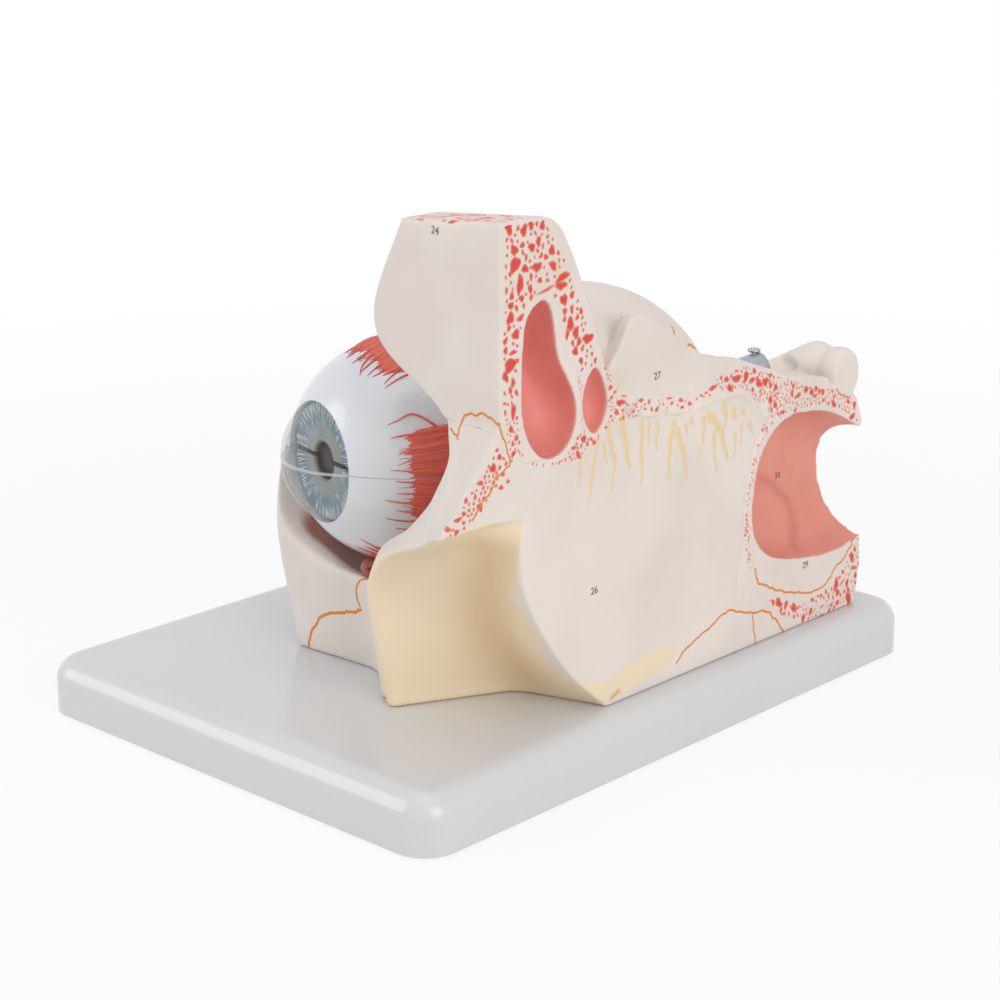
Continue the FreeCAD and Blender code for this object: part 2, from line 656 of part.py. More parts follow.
def musclePatch(angle, width, front, back):
    """Tendon on the sclera: angle round the gaze, width in degrees, front and back in degrees from the gaze."""
    outer = scleraRadius + muscleThickness
    shell = Part.makeSphere(outer).cut(Part.makeSphere(scleraRadius))
    fan = []
    for degrees in (front, (front + back) / 2, back):
        turn = math.radians(degrees)
        fan.append(Vector(math.cos(turn), 0, math.sin(turn)) * 2 * outer)
    halfWidth = outer * math.sin(math.radians(width / 2))
    wedge = Part.Face(Part.makePolygon([Vector()] + fan + [Vector()])).extrude(Vector(0, 2 * halfWidth, 0))
    wedge.translate(Vector(0, -halfWidth, 0))
    strip = shell.common(wedge)
    strip.rotate(Vector(), Vector(1, 0, 0), angle)
    return strip


def makeMuscles():
    """Tendons of the straight muscles, split at the seam where they cross it."""
    medial = musclePatch(-90, 53, 65, 116)
    lateral = musclePatch(90, 38, 72, 116)
    superior = musclePatch(-10, 44, 68, 118)
    inferior = musclePatch(-162, 40, 62, 112)
    return {
        "superior_rectus": single(superior),
        "inferior_rectus": single(inferior),
        "medial_rectus_upper": single(upperHalf(medial)),
        "medial_rectus_lower": single(lowerHalf(medial)),
        "lateral_rectus_upper": single(upperHalf(lateral)),
        "lateral_rectus_lower": single(lowerHalf(lateral)),
    }


# ================================================================ nerve and stalk
def eyeletNeck():
    """Place on top of the nerve, and the neck that goes down into it."""
    along = canalMouth - canalEnd
    place = canalEnd + along.normalize() * eyeletBack + Vector(0, 0, discRadius)
    return place, Part.makeCylinder(eyeletNeckRadius, eyeletNeckDepth + eyeletProud,
                                    place - Vector(0, 0, eyeletNeckDepth))


def makeNerve():
    nerve = pipe(nervePath(), discRadius, nerveBend)
    tip = [e for e in nerve.Edges if e.Closed and (e.CenterOfMass - canalEnd).Length < 0.5]
    return single(nerve.makeFillet(nerveEndRound, tip[:1]).cut(eyeletNeck()[1]))


def makeEyelet():
    place, neck = eyeletNeck()
    ring = Part.makeTorus(eyeletRadius, eyeletWire, place + Vector(0, 0, eyeletProud))
    plate = Part.makeCylinder(eyeletRadius, eyeletPlate, place + Vector(0, 0, eyeletProud - eyeletPlate))
    return neck.fuse(ring).fuse(plate)


def build():
    save("base_plate", makeBase())
    save("rubber_feet", makeFeet())
    save("fixing_screws", makeScrews())
    hollow = orbitHollow()
    save("frontal_bone", makeFrontal(hollow))
    cartilage, septum, nasal = makeFace(hollow)
    save("septal_cartilage", cartilage)
    save("nasal_septum", septum)
    save("nasal_bone", nasal)
    save("crista_galli", makeCrest())
    save("orbital_roof", makeRoof(hollow))
    save("sphenoid_bone", makeSphenoid(hollow))
    maxilla, zygoma = makeFloor(hollow)
    save("maxilla", maxilla)
    save("zygomatic_bone", zygoma)
    save("inferior_oblique", makeOblique())
    save("optic_nerve", makeNerve())
    save("nerve_eyelet", makeEyelet())

    lower, upper, pins = makeSclera()
    save("sclera_lower", toOrbit(lower))
    save("sclera_upper", toOrbit(upper))
    save("sclera_pins", toOrbit(makePins(pins)))
    lower, upper = makeCornea()
    save("cornea_lower", toOrbit(lower))
    save("cornea_upper", toOrbit(upper))
    halves, pins = makeChoroid()
    for name, (lower, upper) in halves.items():
        save(name + "_lower", toOrbit(lower))
        save(name + "_upper", toOrbit(upper))
    save("choroid_pins", toOrbit(makePins(pins)))
    save("lens", toOrbit(single(makeLens())))
    save("vitreous_body", toOrbit(makeVitreous()))
    for name, strip in makeMuscles().items():
        save(name, toOrbit(strip))


build()
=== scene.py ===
import bmesh
import bpy
import math
import random
import numpy as np
from mathutils import Matrix, Vector
from mathutils.bvhtree import BVHTree


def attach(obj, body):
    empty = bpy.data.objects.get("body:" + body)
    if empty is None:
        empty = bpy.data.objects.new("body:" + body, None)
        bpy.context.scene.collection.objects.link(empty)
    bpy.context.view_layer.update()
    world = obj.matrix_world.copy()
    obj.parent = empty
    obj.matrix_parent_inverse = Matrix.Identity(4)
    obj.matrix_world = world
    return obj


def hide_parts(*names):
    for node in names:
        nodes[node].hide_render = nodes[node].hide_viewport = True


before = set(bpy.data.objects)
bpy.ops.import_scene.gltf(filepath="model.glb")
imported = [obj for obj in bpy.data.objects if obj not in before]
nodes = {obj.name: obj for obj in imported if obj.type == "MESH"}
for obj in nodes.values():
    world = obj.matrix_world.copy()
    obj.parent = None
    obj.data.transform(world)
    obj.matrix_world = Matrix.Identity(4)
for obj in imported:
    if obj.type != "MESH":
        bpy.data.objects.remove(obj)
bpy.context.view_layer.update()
scene = bpy.context.scene
mm = 0.001
print("frame loaded:", len(nodes), "nodes")


def linear(code):
    values = [int(code[i:i + 2], 16) / 255 for i in (1, 3, 5)]
    return tuple(v / 12.92 if v <= 0.04045 else ((v + 0.055) / 1.055) ** 2.4 for v in values) + (1.0,)


# a socket that takes part in arithmetic; every operation adds its Math node
class Field:
    def __init__(self, shade, socket):
        self.shade = shade
        self.socket = socket

    def math(self, operation, first, second=0.0):
        return self.shade.node("ShaderNodeMath", {"operation": operation}, {0: first, 1: second})

    def __add__(self, other):
        return self.math("ADD", self, other)

    def __radd__(self, other):
        return self.math("ADD", other, self)

    def __sub__(self, other):
        return self.math("SUBTRACT", self, other)

    def __rsub__(self, other):
        return self.math("SUBTRACT", other, self)

    def __mul__(self, other):
        return self.math("MULTIPLY", self, other)

    def __truediv__(self, other):
        return self.math("DIVIDE", self, other)

    def __abs__(self):
        return self.math("ABSOLUTE", self)

    def root(self):
        return self.math("SQRT", self)


class Shade:
    def __init__(self, name, holder=None):
        self.material = holder or bpy.data.materials.new(name)
        self.material.use_nodes = True
        self.tree = self.material.node_tree
        self.tree.nodes.clear()

    def node(self, kind, settings=None, sockets=None, out=0):
        made = self.tree.nodes.new(kind)
        for key, value in (settings or {}).items():
            if key == "stops":
                ramp = made.color_ramp.elements
                while len(ramp) < len(value):
                    ramp.new(0.5)
                for stop, (place, colour) in zip(ramp, value):
                    stop.position, stop.color = place, colour
            else:
                setattr(made, key, value)
        for key, value in (sockets or {}).items():
            if isinstance(value, Field):
                self.tree.links.new(value.socket, made.inputs[key])
            else:
                made.inputs[key].default_value = value
        return Field(self, made.outputs[out]) if made.outputs else made

    def place(self, location=None, turn=0.0):
        here = self.node("ShaderNodeTexCoord", out="Object")
        if location is None:
            return here
        return self.node("ShaderNodeMapping", {"vector_type": "TEXTURE"},
                         {"Vector": here, "Location": location, "Rotation": (0, 0, turn)})

    def split(self, vector):
        first = self.node("ShaderNodeSeparateXYZ", None, {0: vector})
        return [Field(self, socket) for socket in first.socket.node.outputs]

    def join(self, x, y, z):
        return self.node("ShaderNodeCombineXYZ", None, {0: x, 1: y, 2: z})

    def noise(self, vector, size, detail=2.0, rough=0.5):
        return self.node("ShaderNodeTexNoise", None,
                         {"Vector": vector, "Scale": 1 / (size * mm), "Detail": detail, "Roughness": rough})

    def mix(self, share, first, second, blend="MIX"):
        return self.node("ShaderNodeMix", {"data_type": "RGBA", "blend_type": blend},
                         {0: share, 6: first, 7: second}, out=2)

    def step(self, value, low, high):
        return self.node("ShaderNodeMapRange", {"interpolation_type": "SMOOTHSTEP"},
                         {"Value": value, "From Min": low, "From Max": high})

    def painted(self, name):
        return self.node("ShaderNodeAttribute", {"attribute_name": name}, out="Fac")

    def bump(self, height, distance, strength=1.0):
        return self.node("ShaderNodeBump", None,
                         {"Strength": strength, "Distance": distance * mm, "Height": height})

    def plastic(self, sockets):
        return self.node("ShaderNodeBsdfPrincipled", None, sockets)

    def done(self, surface):
        self.node("ShaderNodeOutputMaterial", None, {"Surface": surface})
        return self.material


def linkMesh(name, mesh, smooth=True):
    piece = bpy.data.objects.new(name, mesh)
    scene.collection.objects.link(piece)
    if smooth:
        mesh.polygons.foreach_set("use_smooth", [True] * len(mesh.polygons))
    return piece


def meshFrom(bm, name):
    mesh = bpy.data.meshes.new(name)
    bm.to_mesh(mesh)
    bm.free()
    return mesh


def modified(piece):
    graph = bpy.context.evaluated_depsgraph_get()
    return bpy.data.meshes.new_from_object(piece.evaluated_get(graph))


def drop(piece):
    bpy.data.objects.remove(piece)


def meshOfCurve(name, curve):
    holder = linkMesh(name, curve, False)
    mesh = modified(holder)
    drop(holder)
    return mesh


def paint(piece, *materials):
    piece.data.materials.clear()
    for material in materials:
        piece.data.materials.append(material)


def dress(name, material):
    node = nodes[name]
    if not node.material_slots:
        node.data.materials.append(material)
    for slot in node.material_slots:
        slot.material = material


# camera and studio
studio = {
    "cameraPlace": (0.5439, -0.5824, 0.3062),
    "cameraBack": (0.6509, -0.7033, 0.2859),    # from the object towards the camera
    "lens": 83.27,                 # mm, on a sensor 36 mm wide
    "worldStrength": 0.52,
    "floorDark": "#F1F1F1",
    "floorLight": "#F5F5F5",
    "floorReach": 8.0,             # m from the middle to each side
    "backdropShare": 0.85,         # how much of the seen floor is plain white near the object
    "backdropStart": 0.25,         # m from the object's middle
    "backdropEnd": 0.8,            # from here on it is all white
    "lampAim": (0, 0, 0.08),
    "lamps": [                     # name, place, width, power, colour
        ("skyPanel", (0.1, -0.2, 1.6), 1.6, 4.5, "#FFFDFB"),
        ("leftPanel", (-1.15, -1.3, 0.7), 1.2, 8.5, "#FAFCFF"),
        ("rightPanel", (1.5, -0.4, 0.7), 1.1, 9.0, "#FFFBF7"),
    ],
}


def makeCamera():
    camera = bpy.data.objects.new("camera", bpy.data.cameras.new("camera"))
    scene.collection.objects.link(camera)
    camera.data.lens = studio["lens"]
    camera.data.sensor_width = 36.0
    camera.data.clip_start, camera.data.clip_end = 0.01, 50.0
    camera.location = studio["cameraPlace"]
    camera.rotation_mode = "QUATERNION"
    camera.rotation_quaternion = (-Vector(studio["cameraBack"])).to_track_quat("-Z", "Y")
    scene.camera = camera


# 1 where the camera, a gloss or a clear piece looks at the surface, 0 where light arrives
def seenRay(shade):
    path = shade.node("ShaderNodeLightPath")
    seen = [Field(shade, path.socket.node.outputs[kind])
            for kind in ("Is Camera Ray", "Is Glossy Ray", "Is Transmission Ray")]
    total = seen[0] + seen[1] + seen[2]
    return total.math("MINIMUM", total, 1.0)


def makeStudio():
    for name, place, width, power, colour in studio["lamps"]:
        lamp = bpy.data.lights.new(name, "AREA")
        lamp.shape, lamp.size = "DISK", width
        lamp.energy, lamp.color = power, linear(colour)[:3]
        holder = bpy.data.objects.new(name, lamp)
        scene.collection.objects.link(holder)
        holder.location = place
        holder.rotation_mode = "QUATERNION"
        holder.rotation_quaternion = (Vector(studio["lampAim"]) - Vector(place)).to_track_quat("-Z", "Y")
    scene.world = bpy.data.worlds.new("studioAir")
    scene.world.use_nodes = True
    air = Shade("studioAir", scene.world)
    strength = studio["worldStrength"] + seenRay(air) * (1.0 - studio["worldStrength"])
    sky = air.node("ShaderNodeBackground", None, {"Color": (1, 1, 1, 1), "Strength": strength})
    air.node("ShaderNodeOutputWorld", None, {"Surface": sky})

    shade = Shade("studioFloor")
    here = shade.place()
    x, y, _ = shade.split(here)
    away = shade.step((x * x + y * y).root(), studio["backdropStart"], studio["backdropEnd"])
    dark, light = linear(studio["floorDark"]), linear(studio["floorLight"])
    colour = shade.mix(shade.noise(here, 400.0), dark, light)
    matte = shade.plastic({"Base Color": colour, "Roughness": 0.9, "Specular IOR Level": 0.1})
    white = shade.node("ShaderNodeEmission", None, {"Color": (1, 1, 1, 1), "Strength": 1.0})
    share = seenRay(shade) * (studio["backdropShare"] + away * (1.0 - studio["backdropShare"]))
    surface = shade.node("ShaderNodeMixShader", None, {0: share, 1: matte, 2: white})
    bm = bmesh.new()
    bmesh.ops.create_grid(bm, x_segments=2, y_segments=2, size=studio["floorReach"])
    floor = linkMesh("studioFloor", meshFrom(bm, "studioFloor"))
    paint(floor, shade.done(surface))


scene.view_settings.view_transform = "Standard"
makeCamera()
makeStudio()
print("camera and studio ready")

# bony orbit: one casting, shaped as a whole and then parted along the bones' joints
casting = {
    "voxel": 0.9,                  # mm, as every length here
    "coarseVoxel": 1.6,
    "smoothing": 2,                # times that the whole skin is smoothed
    "cutX": 84.0,                  # sawn face
    "blockTop": 189.4,             # highest edge of the forehead's sawn top
    "topFall": 0.09,               # and its fall per millimetre to the side
    "bowlCentre": (-6.0, -38.0, 94.4),
    "bowlShadeReach": (48.5, 53.5),     # painted shade in the bowl fades out between these distances from that centre
    "boneLight": "#EBE1DA",
    "boneDark": "#E2D7CF",
    "red": "#D8463B",
    "redRim": "#E6806B",
    "suture": "#E0872C",
    "sinusDeep": "#E8938A",
    "sinusPale": "#E79C8B",
    "sinusBlush": "#D27E6E",
    "tan": "#F0DEC1",
    # darker tan of the painted shade in the cartilage's dish
    "tanShaded": "#E6C9A0",
    "thread": "#E9CF96",
    # ochre of the painted shade by the crest; the short line by the foot uses it too
    "ochre": "#D5B26A",
    # colour of the painted shade on the orbit's floor near the eye
    "floorShadeBrown": "#9A5B4B",
    # darker red of the painted shade in the fold of the sphenoid's sinus
    "crease": "#C96F60",
    "marrowDepth": 0.4,
    "threadHeight": 0.9,
    "sieveHeight": 1.4,
    "ridgeHeight": 1.5,
    "ridgeWidth": 1.4,
    "grooveDepth": 0.8,
    "grooveWidth": 0.9,
    "tanShadeWidth": 11.0,           # painted shade: darker tan along the dish's deepest line
    "creaseShadeWidth": 2.2,            # painted shade: darker along the fold in the sphenoid's sinus
    "topSpots": 150,               # tries at a marrow space on the sawn top
    "fineReach": (2.0, 1.1),       # the mesh is made finer this close to a painted line
    "cornerRadius": 16.0,          # between the forehead's top and its back
    "backFoot": (178.0, -53.6),    # back slope of the forehead below that corner: z, y
    "backHead": (186.0, -58.2),
    "slots": {"frontal_bone": "frontal_bone", "orbital_roof": "frontal_bone",
              "septal_cartilage": "cartilage", "nasal_septum": "septum", "crista_galli": "septum",
              "sphenoid_bone": "sphenoid_bone"},
    "softened": [                  # lowest and highest corner of a region, and how often it is smoothed
        ((-60, -72, 27), (15, -18, 97), 26),
        ((30, 66, 40), (83.3, 118, 104), 14),
    ],
}
boneNodes = ["frontal_bone", "nasal_bone", "septal_cartilage", "nasal_septum", "crista_galli",
             "orbital_roof", "sphenoid_bone", "maxilla", "zygomatic_bone"]

frontalSinus = [(-66.8, 163), (-72.5, 159), (-74.8, 147), (-75.3, 133), (-72.5, 121), (-64, 112.8),
                (-55, 114.3), (-49.8, 124), (-52.5, 134), (-58.5, 144), (-61, 156)]
ethmoidCell = [(-42, 137.5), (-46.2, 131), (-45.5, 121.5), (-40.5, 116.4), (-35.8, 121.5), (-36.5, 132)]
sphenoidSinus = [(58, 99.5), (48.5, 90), (45, 76), (46.5, 62), (55, 53), (70, 48.2), (88, 45.5),
                 (108, 47), (124, 60), (122, 80), (106, 91), (90, 98.5), (74, 101.6)]
# each with how far past its outline the paint may reach, and how deep
sinuses = [(frontalSinus, 4.0, 15.0), (ethmoidCell, 4.0, 15.0), (sphenoidSinus, 1.0, 22.0)]

# olfactory threads on the sawn face: half width at the top, then the way down as (y, z)
threads = [
    (0.6, [(-48.6, 110.1), (-48.7, 104.8), (-49, 100.5)]),
    (0.9, [(-40.8, 114.1), (-41.6, 109.7), (-42.8, 102.6), (-44.1, 93.6)]),
    (0.6, [(-37.2, 112.6), (-36.4, 108.1), (-35.5, 106)]),
    (0.9, [(-35, 118), (-33.6, 111.4), (-31.4, 105.6), (-32.6, 99.5), (-32.9, 95.6)]),
    (1.5, [(-29, 119.3), (-27, 113.1), (-25.4, 105.9), (-24.1, 101.7)]),
    (1.0, [(-18.6, 116.8), (-18.2, 109.3), (-18.2, 102.4), (-17.6, 95.3)]),
    (0.5, [(-14.4, 114.5), (-13.7, 107)]),
    (0.7, [(-10, 113.7), (-10.6, 108.8), (-9.9, 104.7)]),
    (1.2, [(-1.7, 112.1), (-3.5, 106.4), (-3.9, 100.5), (-3, 93.2)]),
    (1.3, [(0.3, 109.2), (2.4, 104.2), (5, 97.6), (6.6, 91.7)]),
    (0.5, [(4.9, 110.8), (5.9, 106.6)]),
    (0.7, [(7.6, 112.3), (9.3, 109.5)]),
    (0.9, [(14, 111.1), (14.8, 105.9), (13.6, 101.5), (12.2, 97.2)]),
    (1.5, [(16.8, 111.6), (20.9, 108.7), (24.3, 104.5), (28.4, 94.9)]),
    (0.8, [(20.6, 105.7), (20.5, 99.6), (21.5, 94.2), (22.9, 90.8)]),
    (1.3, [(25.1, 114.6), (26.9, 109.6), (26.3, 106.2)]),
    (1.2, [(31, 110.7), (32.4, 107.6)]),
    (1.1, [(36.4, 109.7), (37.7, 107.9)]),
    (0.6, [(32.2, 102.4), (32.4, 93.6)]),
    (0.5, [(35.8, 104.9), (35.8, 97.1)]),
    (0.8, [(40, 104.6), (42.3, 99.9)]),
]
# raised band of the sieve plate: its lower and upper edges as (y, z)
sieveLower = [(-27.2, 121.9), (-24.6, 120.4), (-22.7, 119.1), (-17.5, 117.3), (-11.4, 116.2), (-7.6, 117.2),
              (-3.8, 115.5), (0.9, 114.8), (5.6, 115.2), (8.7, 116.1)]
sieveUpper = [(8.8, 123.6), (6.8, 122.5), (3, 121.7), (-2.5, 122.9), (-7.1, 123), (-11.7, 124.6),
              (-17.7, 125.5), (-23.7, 126.6), (-27.7, 126.8)]
ridge = [(11.8, 115.8), (19.6, 116.5), (27.4, 116.8), (35.4, 115.7), (40.2, 112.7), (43.9, 108.4),
         (48.8, 105.3), (51.8, 104.7)]
groove = [(52.4, 104.2), (46.8, 98.4), (43.1, 90.3), (41.2, 81.9), (40.5, 71.7), (39.9, 59.9),
          (38.6, 51.2), (37.3, 42.5)]


def sawn(points):
    return [(casting["cutX"], y, z) for y, z in points]


# orange joint lines: half width, points in mm
sutures = [
    (0.42, sawn([(46.7, 50), (47.7, 46.7), (49.7, 43.9), (55.9, 40.7), (63.5, 37.3), (72.4, 34.4), (82, 32.4),
                 (89, 32.5), (94, 35.3), (96.4, 38.3), (101.5, 40.3), (105.2, 43.4), (107.6, 47.2),
                 (109.8, 49)])),
    (0.42, sawn([(3.5, 26.5), (7.5, 30.2), (16.3, 33), (22.9, 34.9), (28.5, 37.5), (33.6, 38.1), (37.1, 36.5),
                 (46.6, 33.7), (52.6, 32.9), (57.5, 30.1), (62.3, 25.3), (66.3, 20.4)])),
    (0.35, sawn([(46.4, 33.8), (47.1, 28.5), (48.8, 20.8)])),
    (0.38, sawn([(-86.3, 128.1), (-85.3, 125.2), (-83, 121.5), (-82.1, 118.4), (-80.5, 116.1), (-81.2, 114.3),
                 (-84.4, 112.7), (-87.6, 111.5), (-88.5, 109.1), (-89.9, 107.5), (-92.6, 105.8),
                 (-94.2, 103.6), (-96.4, 101.8), (-97.7, 100.1)])),
    (0.45, [(61.7, -83.8, 122.4), (63.8, -84.5, 121.2), (66.5, -85.5, 120.4)]),
    (0.45, [(66, -85, 121.5), (66.1, -84.2, 124.6), (67.9, -84.2, 127.9), (69.6, -84.4, 128.4),
            (71.2, -84.5, 129.3), (73.1, -84.6, 128.5), (75.9, -84.9, 130), (78.7, -85.1, 129.6),
            (81.4, -85.3, 128.9), (83, -85.4, 127.9), (84, -86, 127.6)]),
    (0.45, [(0.1, -61, 54.5), (-2.3, -61.9, 53.5), (-4.5, -61.7, 51.5), (-5.5, -61.7, 49.3),
            (-5.4, -61.6, 46.9), (-5.3, -61.6, 44.8), (-3.8, -61.6, 43.2)]),
    (0.6, [(-3.5, -61.6, 41.6), (-6.5, -61.5, 40.1), (-10.8, -61.3, 39.2), (-15.3, -61.2, 37.7),
           (-19.2, -61.1, 37), (-22.6, -61.1, 35), (-25.3, -61.1, 33.4), (-26.5, -61.4, 31.3),
           (-28.6, -61.8, 27.8), (-28.7, -62.1, 25.9), (-29.7, -62.4, 23.9), (-29.9, -62.7, 22)]),
    (0.5, [(76.6, 6, 142.6), (78.1, 5.1, 141.7), (79, 4.7, 140.6)]),
    (0.5, [(79, 12.1, 135.7), (79, 14.8, 134.7), (79, 17, 134)]),
    (0.3, [(83.8, 92.5, 106.8), (84, 95, 104.6), (84, 97.6, 103), (84, 100.8, 102.6)]),
]

# tan paint of the cartilage: its border as seen from the median plane, (y, z)
tanOutline = [(-140, 95), (-115.2, 95.4), (-108.5, 96.6), (-100.3, 98.6), (-97.3, 99.4), (-89.7, 98.2),
              (-83.5, 95.7), (-79.5, 94), (-74.5, 96), (-75.2, 90), (-75.9, 84), (-75.5, 75), (-73.9, 67.7),
              (-69, 60), (-64.9, 53.8), (-60.7, 46.8), (-56.4, 40.3), (-48.7, 34.6), (-40.9, 31.5),
              (-31.3, 31.5), (-22.4, 33.3), (-16.3, 34.2), (-6.8, 35.5), (4.2, 31.7), (0.7, 26.6),
              (-17.2, 24.4), (-33, 24), (-40, 15), (-140, 15)]
# and how high it reaches over the width, (x, z)
tanCeiling = [(24, 71), (30, 74.2), (36, 77.7), (50, 82.8), (60, 86.4), (66, 88.5), (75, 94), (83, 99),
              (84, 101)]
# deepest line of the cartilage's dish, where the tan carries painted shade
tanShadeLine = [(73.3, -76.1, 82.5), (63.1, -67.3, 67.6), (56.2, -62.1, 54.8), (55, -56.4, 44.4),
             (60.3, -47, 33.7)]
# fold of the sphenoid's sinus, darkened there as painted shade
creaseShadeLine = [(84.0, 45.5, 84.1), (62.0, 80.1, 71.3), (62.0, 85.2, 68.5), (62.8, 93.2, 61.6),
              (64.6, 95.0, 56.0), (67.7, 92.6, 51.2), (76.4, 81.2, 47.3)]
# painted shade, tinted ochre, in the corner between the forehead and the crest, along the crest's front edge
roofOchreShade = [(78, -37.5, 148), (78, -34, 137), (80, -30, 131)]
footOchre = [(84, -31, 23.8), (84, -27.5, 25)]

# large red marrow spaces on the forehead's sawn face: y, z, half axes, tilt in degrees
marrow = [
    (-68.4, 181.7, 1.3, 1.8, 10), (-75.6, 181.6, 1.2, 1.1, 0), (-71.4, 180.3, 1.7, 1.6, 20),
    (-79.2, 180.5, 1.8, 1.8, 0), (-78.9, 176, 2.3, 2.8, -20), (-74.4, 174.2, 1.7, 1.5, 0),
    (-69, 174, 2.3, 1.7, 10), (-61.7, 173.4, 2.3, 1.4, -30), (-76.6, 169.8, 1.7, 3.3, 0),
    (-57.3, 169.2, 3.4, 1.5, 20), (-57.9, 166.6, 2.8, 1.5, 0), (-67.7, 169.7, 1.5, 1, 0),
    (-64.2, 169.2, 1.1, 0.8, 0), (-56.6, 162.1, 1.8, 2.1, 0), (-52.8, 163, 1.3, 1.3, 30),
    (-62.3, 178.2, 1.4, 2.1, 0), (-65, 176.5, 1.1, 1.2, 0), (-50.8, 150.8, 1.5, 2.5, -10),
    (-45, 148, 2.6, 1.9, 0), (-51, 144.9, 1.7, 1.5, 20), (-48.2, 141.4, 1.2, 1.3, 10),
    (-80.9, 145.6, 2.9, 2.3, 0), (-79.7, 149.3, 2.1, 0.9, 0), (-78.5, 154.7, 2.1, 1.6, 0),
    (-76.4, 159.5, 2.3, 1, 20), (-80.9, 160, 2.1, 1.8, 30), (-81.5, 157.1, 1.2, 1, 20),
    (-50.2, 155.6, 1, 1.2, 0), (-52.8, 158.5, 1, 1.7, 10), (-56.2, 155.9, 0.9, 1.3, 0),
    (-72, 167.7, 1.2, 1.6, 0), (-64.7, 166.4, 4.6, 0.7, 15), (-75.9, 165.4, 1.3, 1.3, 0),
    (-80.3, 166.7, 1.3, 1.3, 20), (-81.1, 173.4, 0.9, 1, 0), (-79.7, 140, 1, 2.1, 0),
    (-80.9, 137.7, 1, 1.3, 20), (-79.5, 131, 1.4, 2.6, 0), (-80.5, 125.5, 1.0, 1.6, 10),
    (32.8, 121.3, 2.6, 1.6, 0), (27.1, 122, 1.7, 1.1, 0), (41.5, 119.1, 2.2, 1.1, 20),
    (49.2, 117.3, 2.3, 1.5, 0), (19.8, 120.5, 3.1, 0.9, 10), (16, 119.4, 1.1, 0.6, 0),
    (13.3, 118.9, 1, 0.6, 0), (5.6, 117.8, 1.1, 0.8, 0), (1.3, 117.4, 1.2, 0.8, 0),
    (3.4, 118.9, 1.1, 0.6, 20),
    (-19.5, 123.5, 1.1, 0.8, 0), (-12.1, 119.4, 1, 1.2, 0), (-5.2, 121.6, 1.2, 0.6, 0),
    (-29, 124.3, 1.7, 1.3, 0), (-31.6, 128.3, 1.2, 0.7, 30), (-27.8, 126.4, 0.8, 0.5, 0),
    (-46.6, 115.8, 1.3, 1.6, 20), (-51.4, 113.8, 1.2, 0.9, 0), (55.3, 114.1, 1.3, 1.5, 0),
    (52.5, 110.2, 1.4, 1.5, 0), (60, 104.4, 1.6, 1, 0), (68.8, 108.7, 2.5, 1, 10), (73.7, 110, 1.7, 1.3, 0),
    (79.4, 106.7, 1.4, 0.9, 0), (84.6, 104.1, 1.3, 0.8, 0), (103.2, 94.6, 1.6, 1.4, 30),
    (106.1, 23.9, 1.8, 2.9, 20), (109, 35.3, 2.4, 0.9, -20), (101.7, 35.4, 1.2, 1, 0),
    (101.4, 31.3, 2.3, 0.7, 40), (99, 24.1, 1.5, 1.1, 0), (82.8, 29.2, 1.8, 0.8, -20),
    (73.9, 28.5, 1.4, 0.8, 0), (68.3, 27.5, 0.6, 1.6, 0), (89.4, 21.6, 1.6, 0.6, 0),
    (93.1, 28.2, 0.7, 1.8, 0), (89.4, 25.1, 2.2, 0.5, 10), (111.1, 46.1, 1, 0.6, 0),
    (-94.2, 111.4, 1.5, 1, 0), (-96.5, 107.5, 0.8, 1.3, 0), (-100.5, 107.2, 1, 1, 0),
    (-104, 102, 2, 0.9, 10), (-101.4, 105.3, 0.6, 0.5, 0), (-99.2, 103.9, 0.8, 0.7, 0),
    (-108.2, 99.8, 1.3, 0.9, 0), (-81.9, 109.3, 1.2, 0.7, 0), (-85, 108, 1.3, 0.9, 0),
]
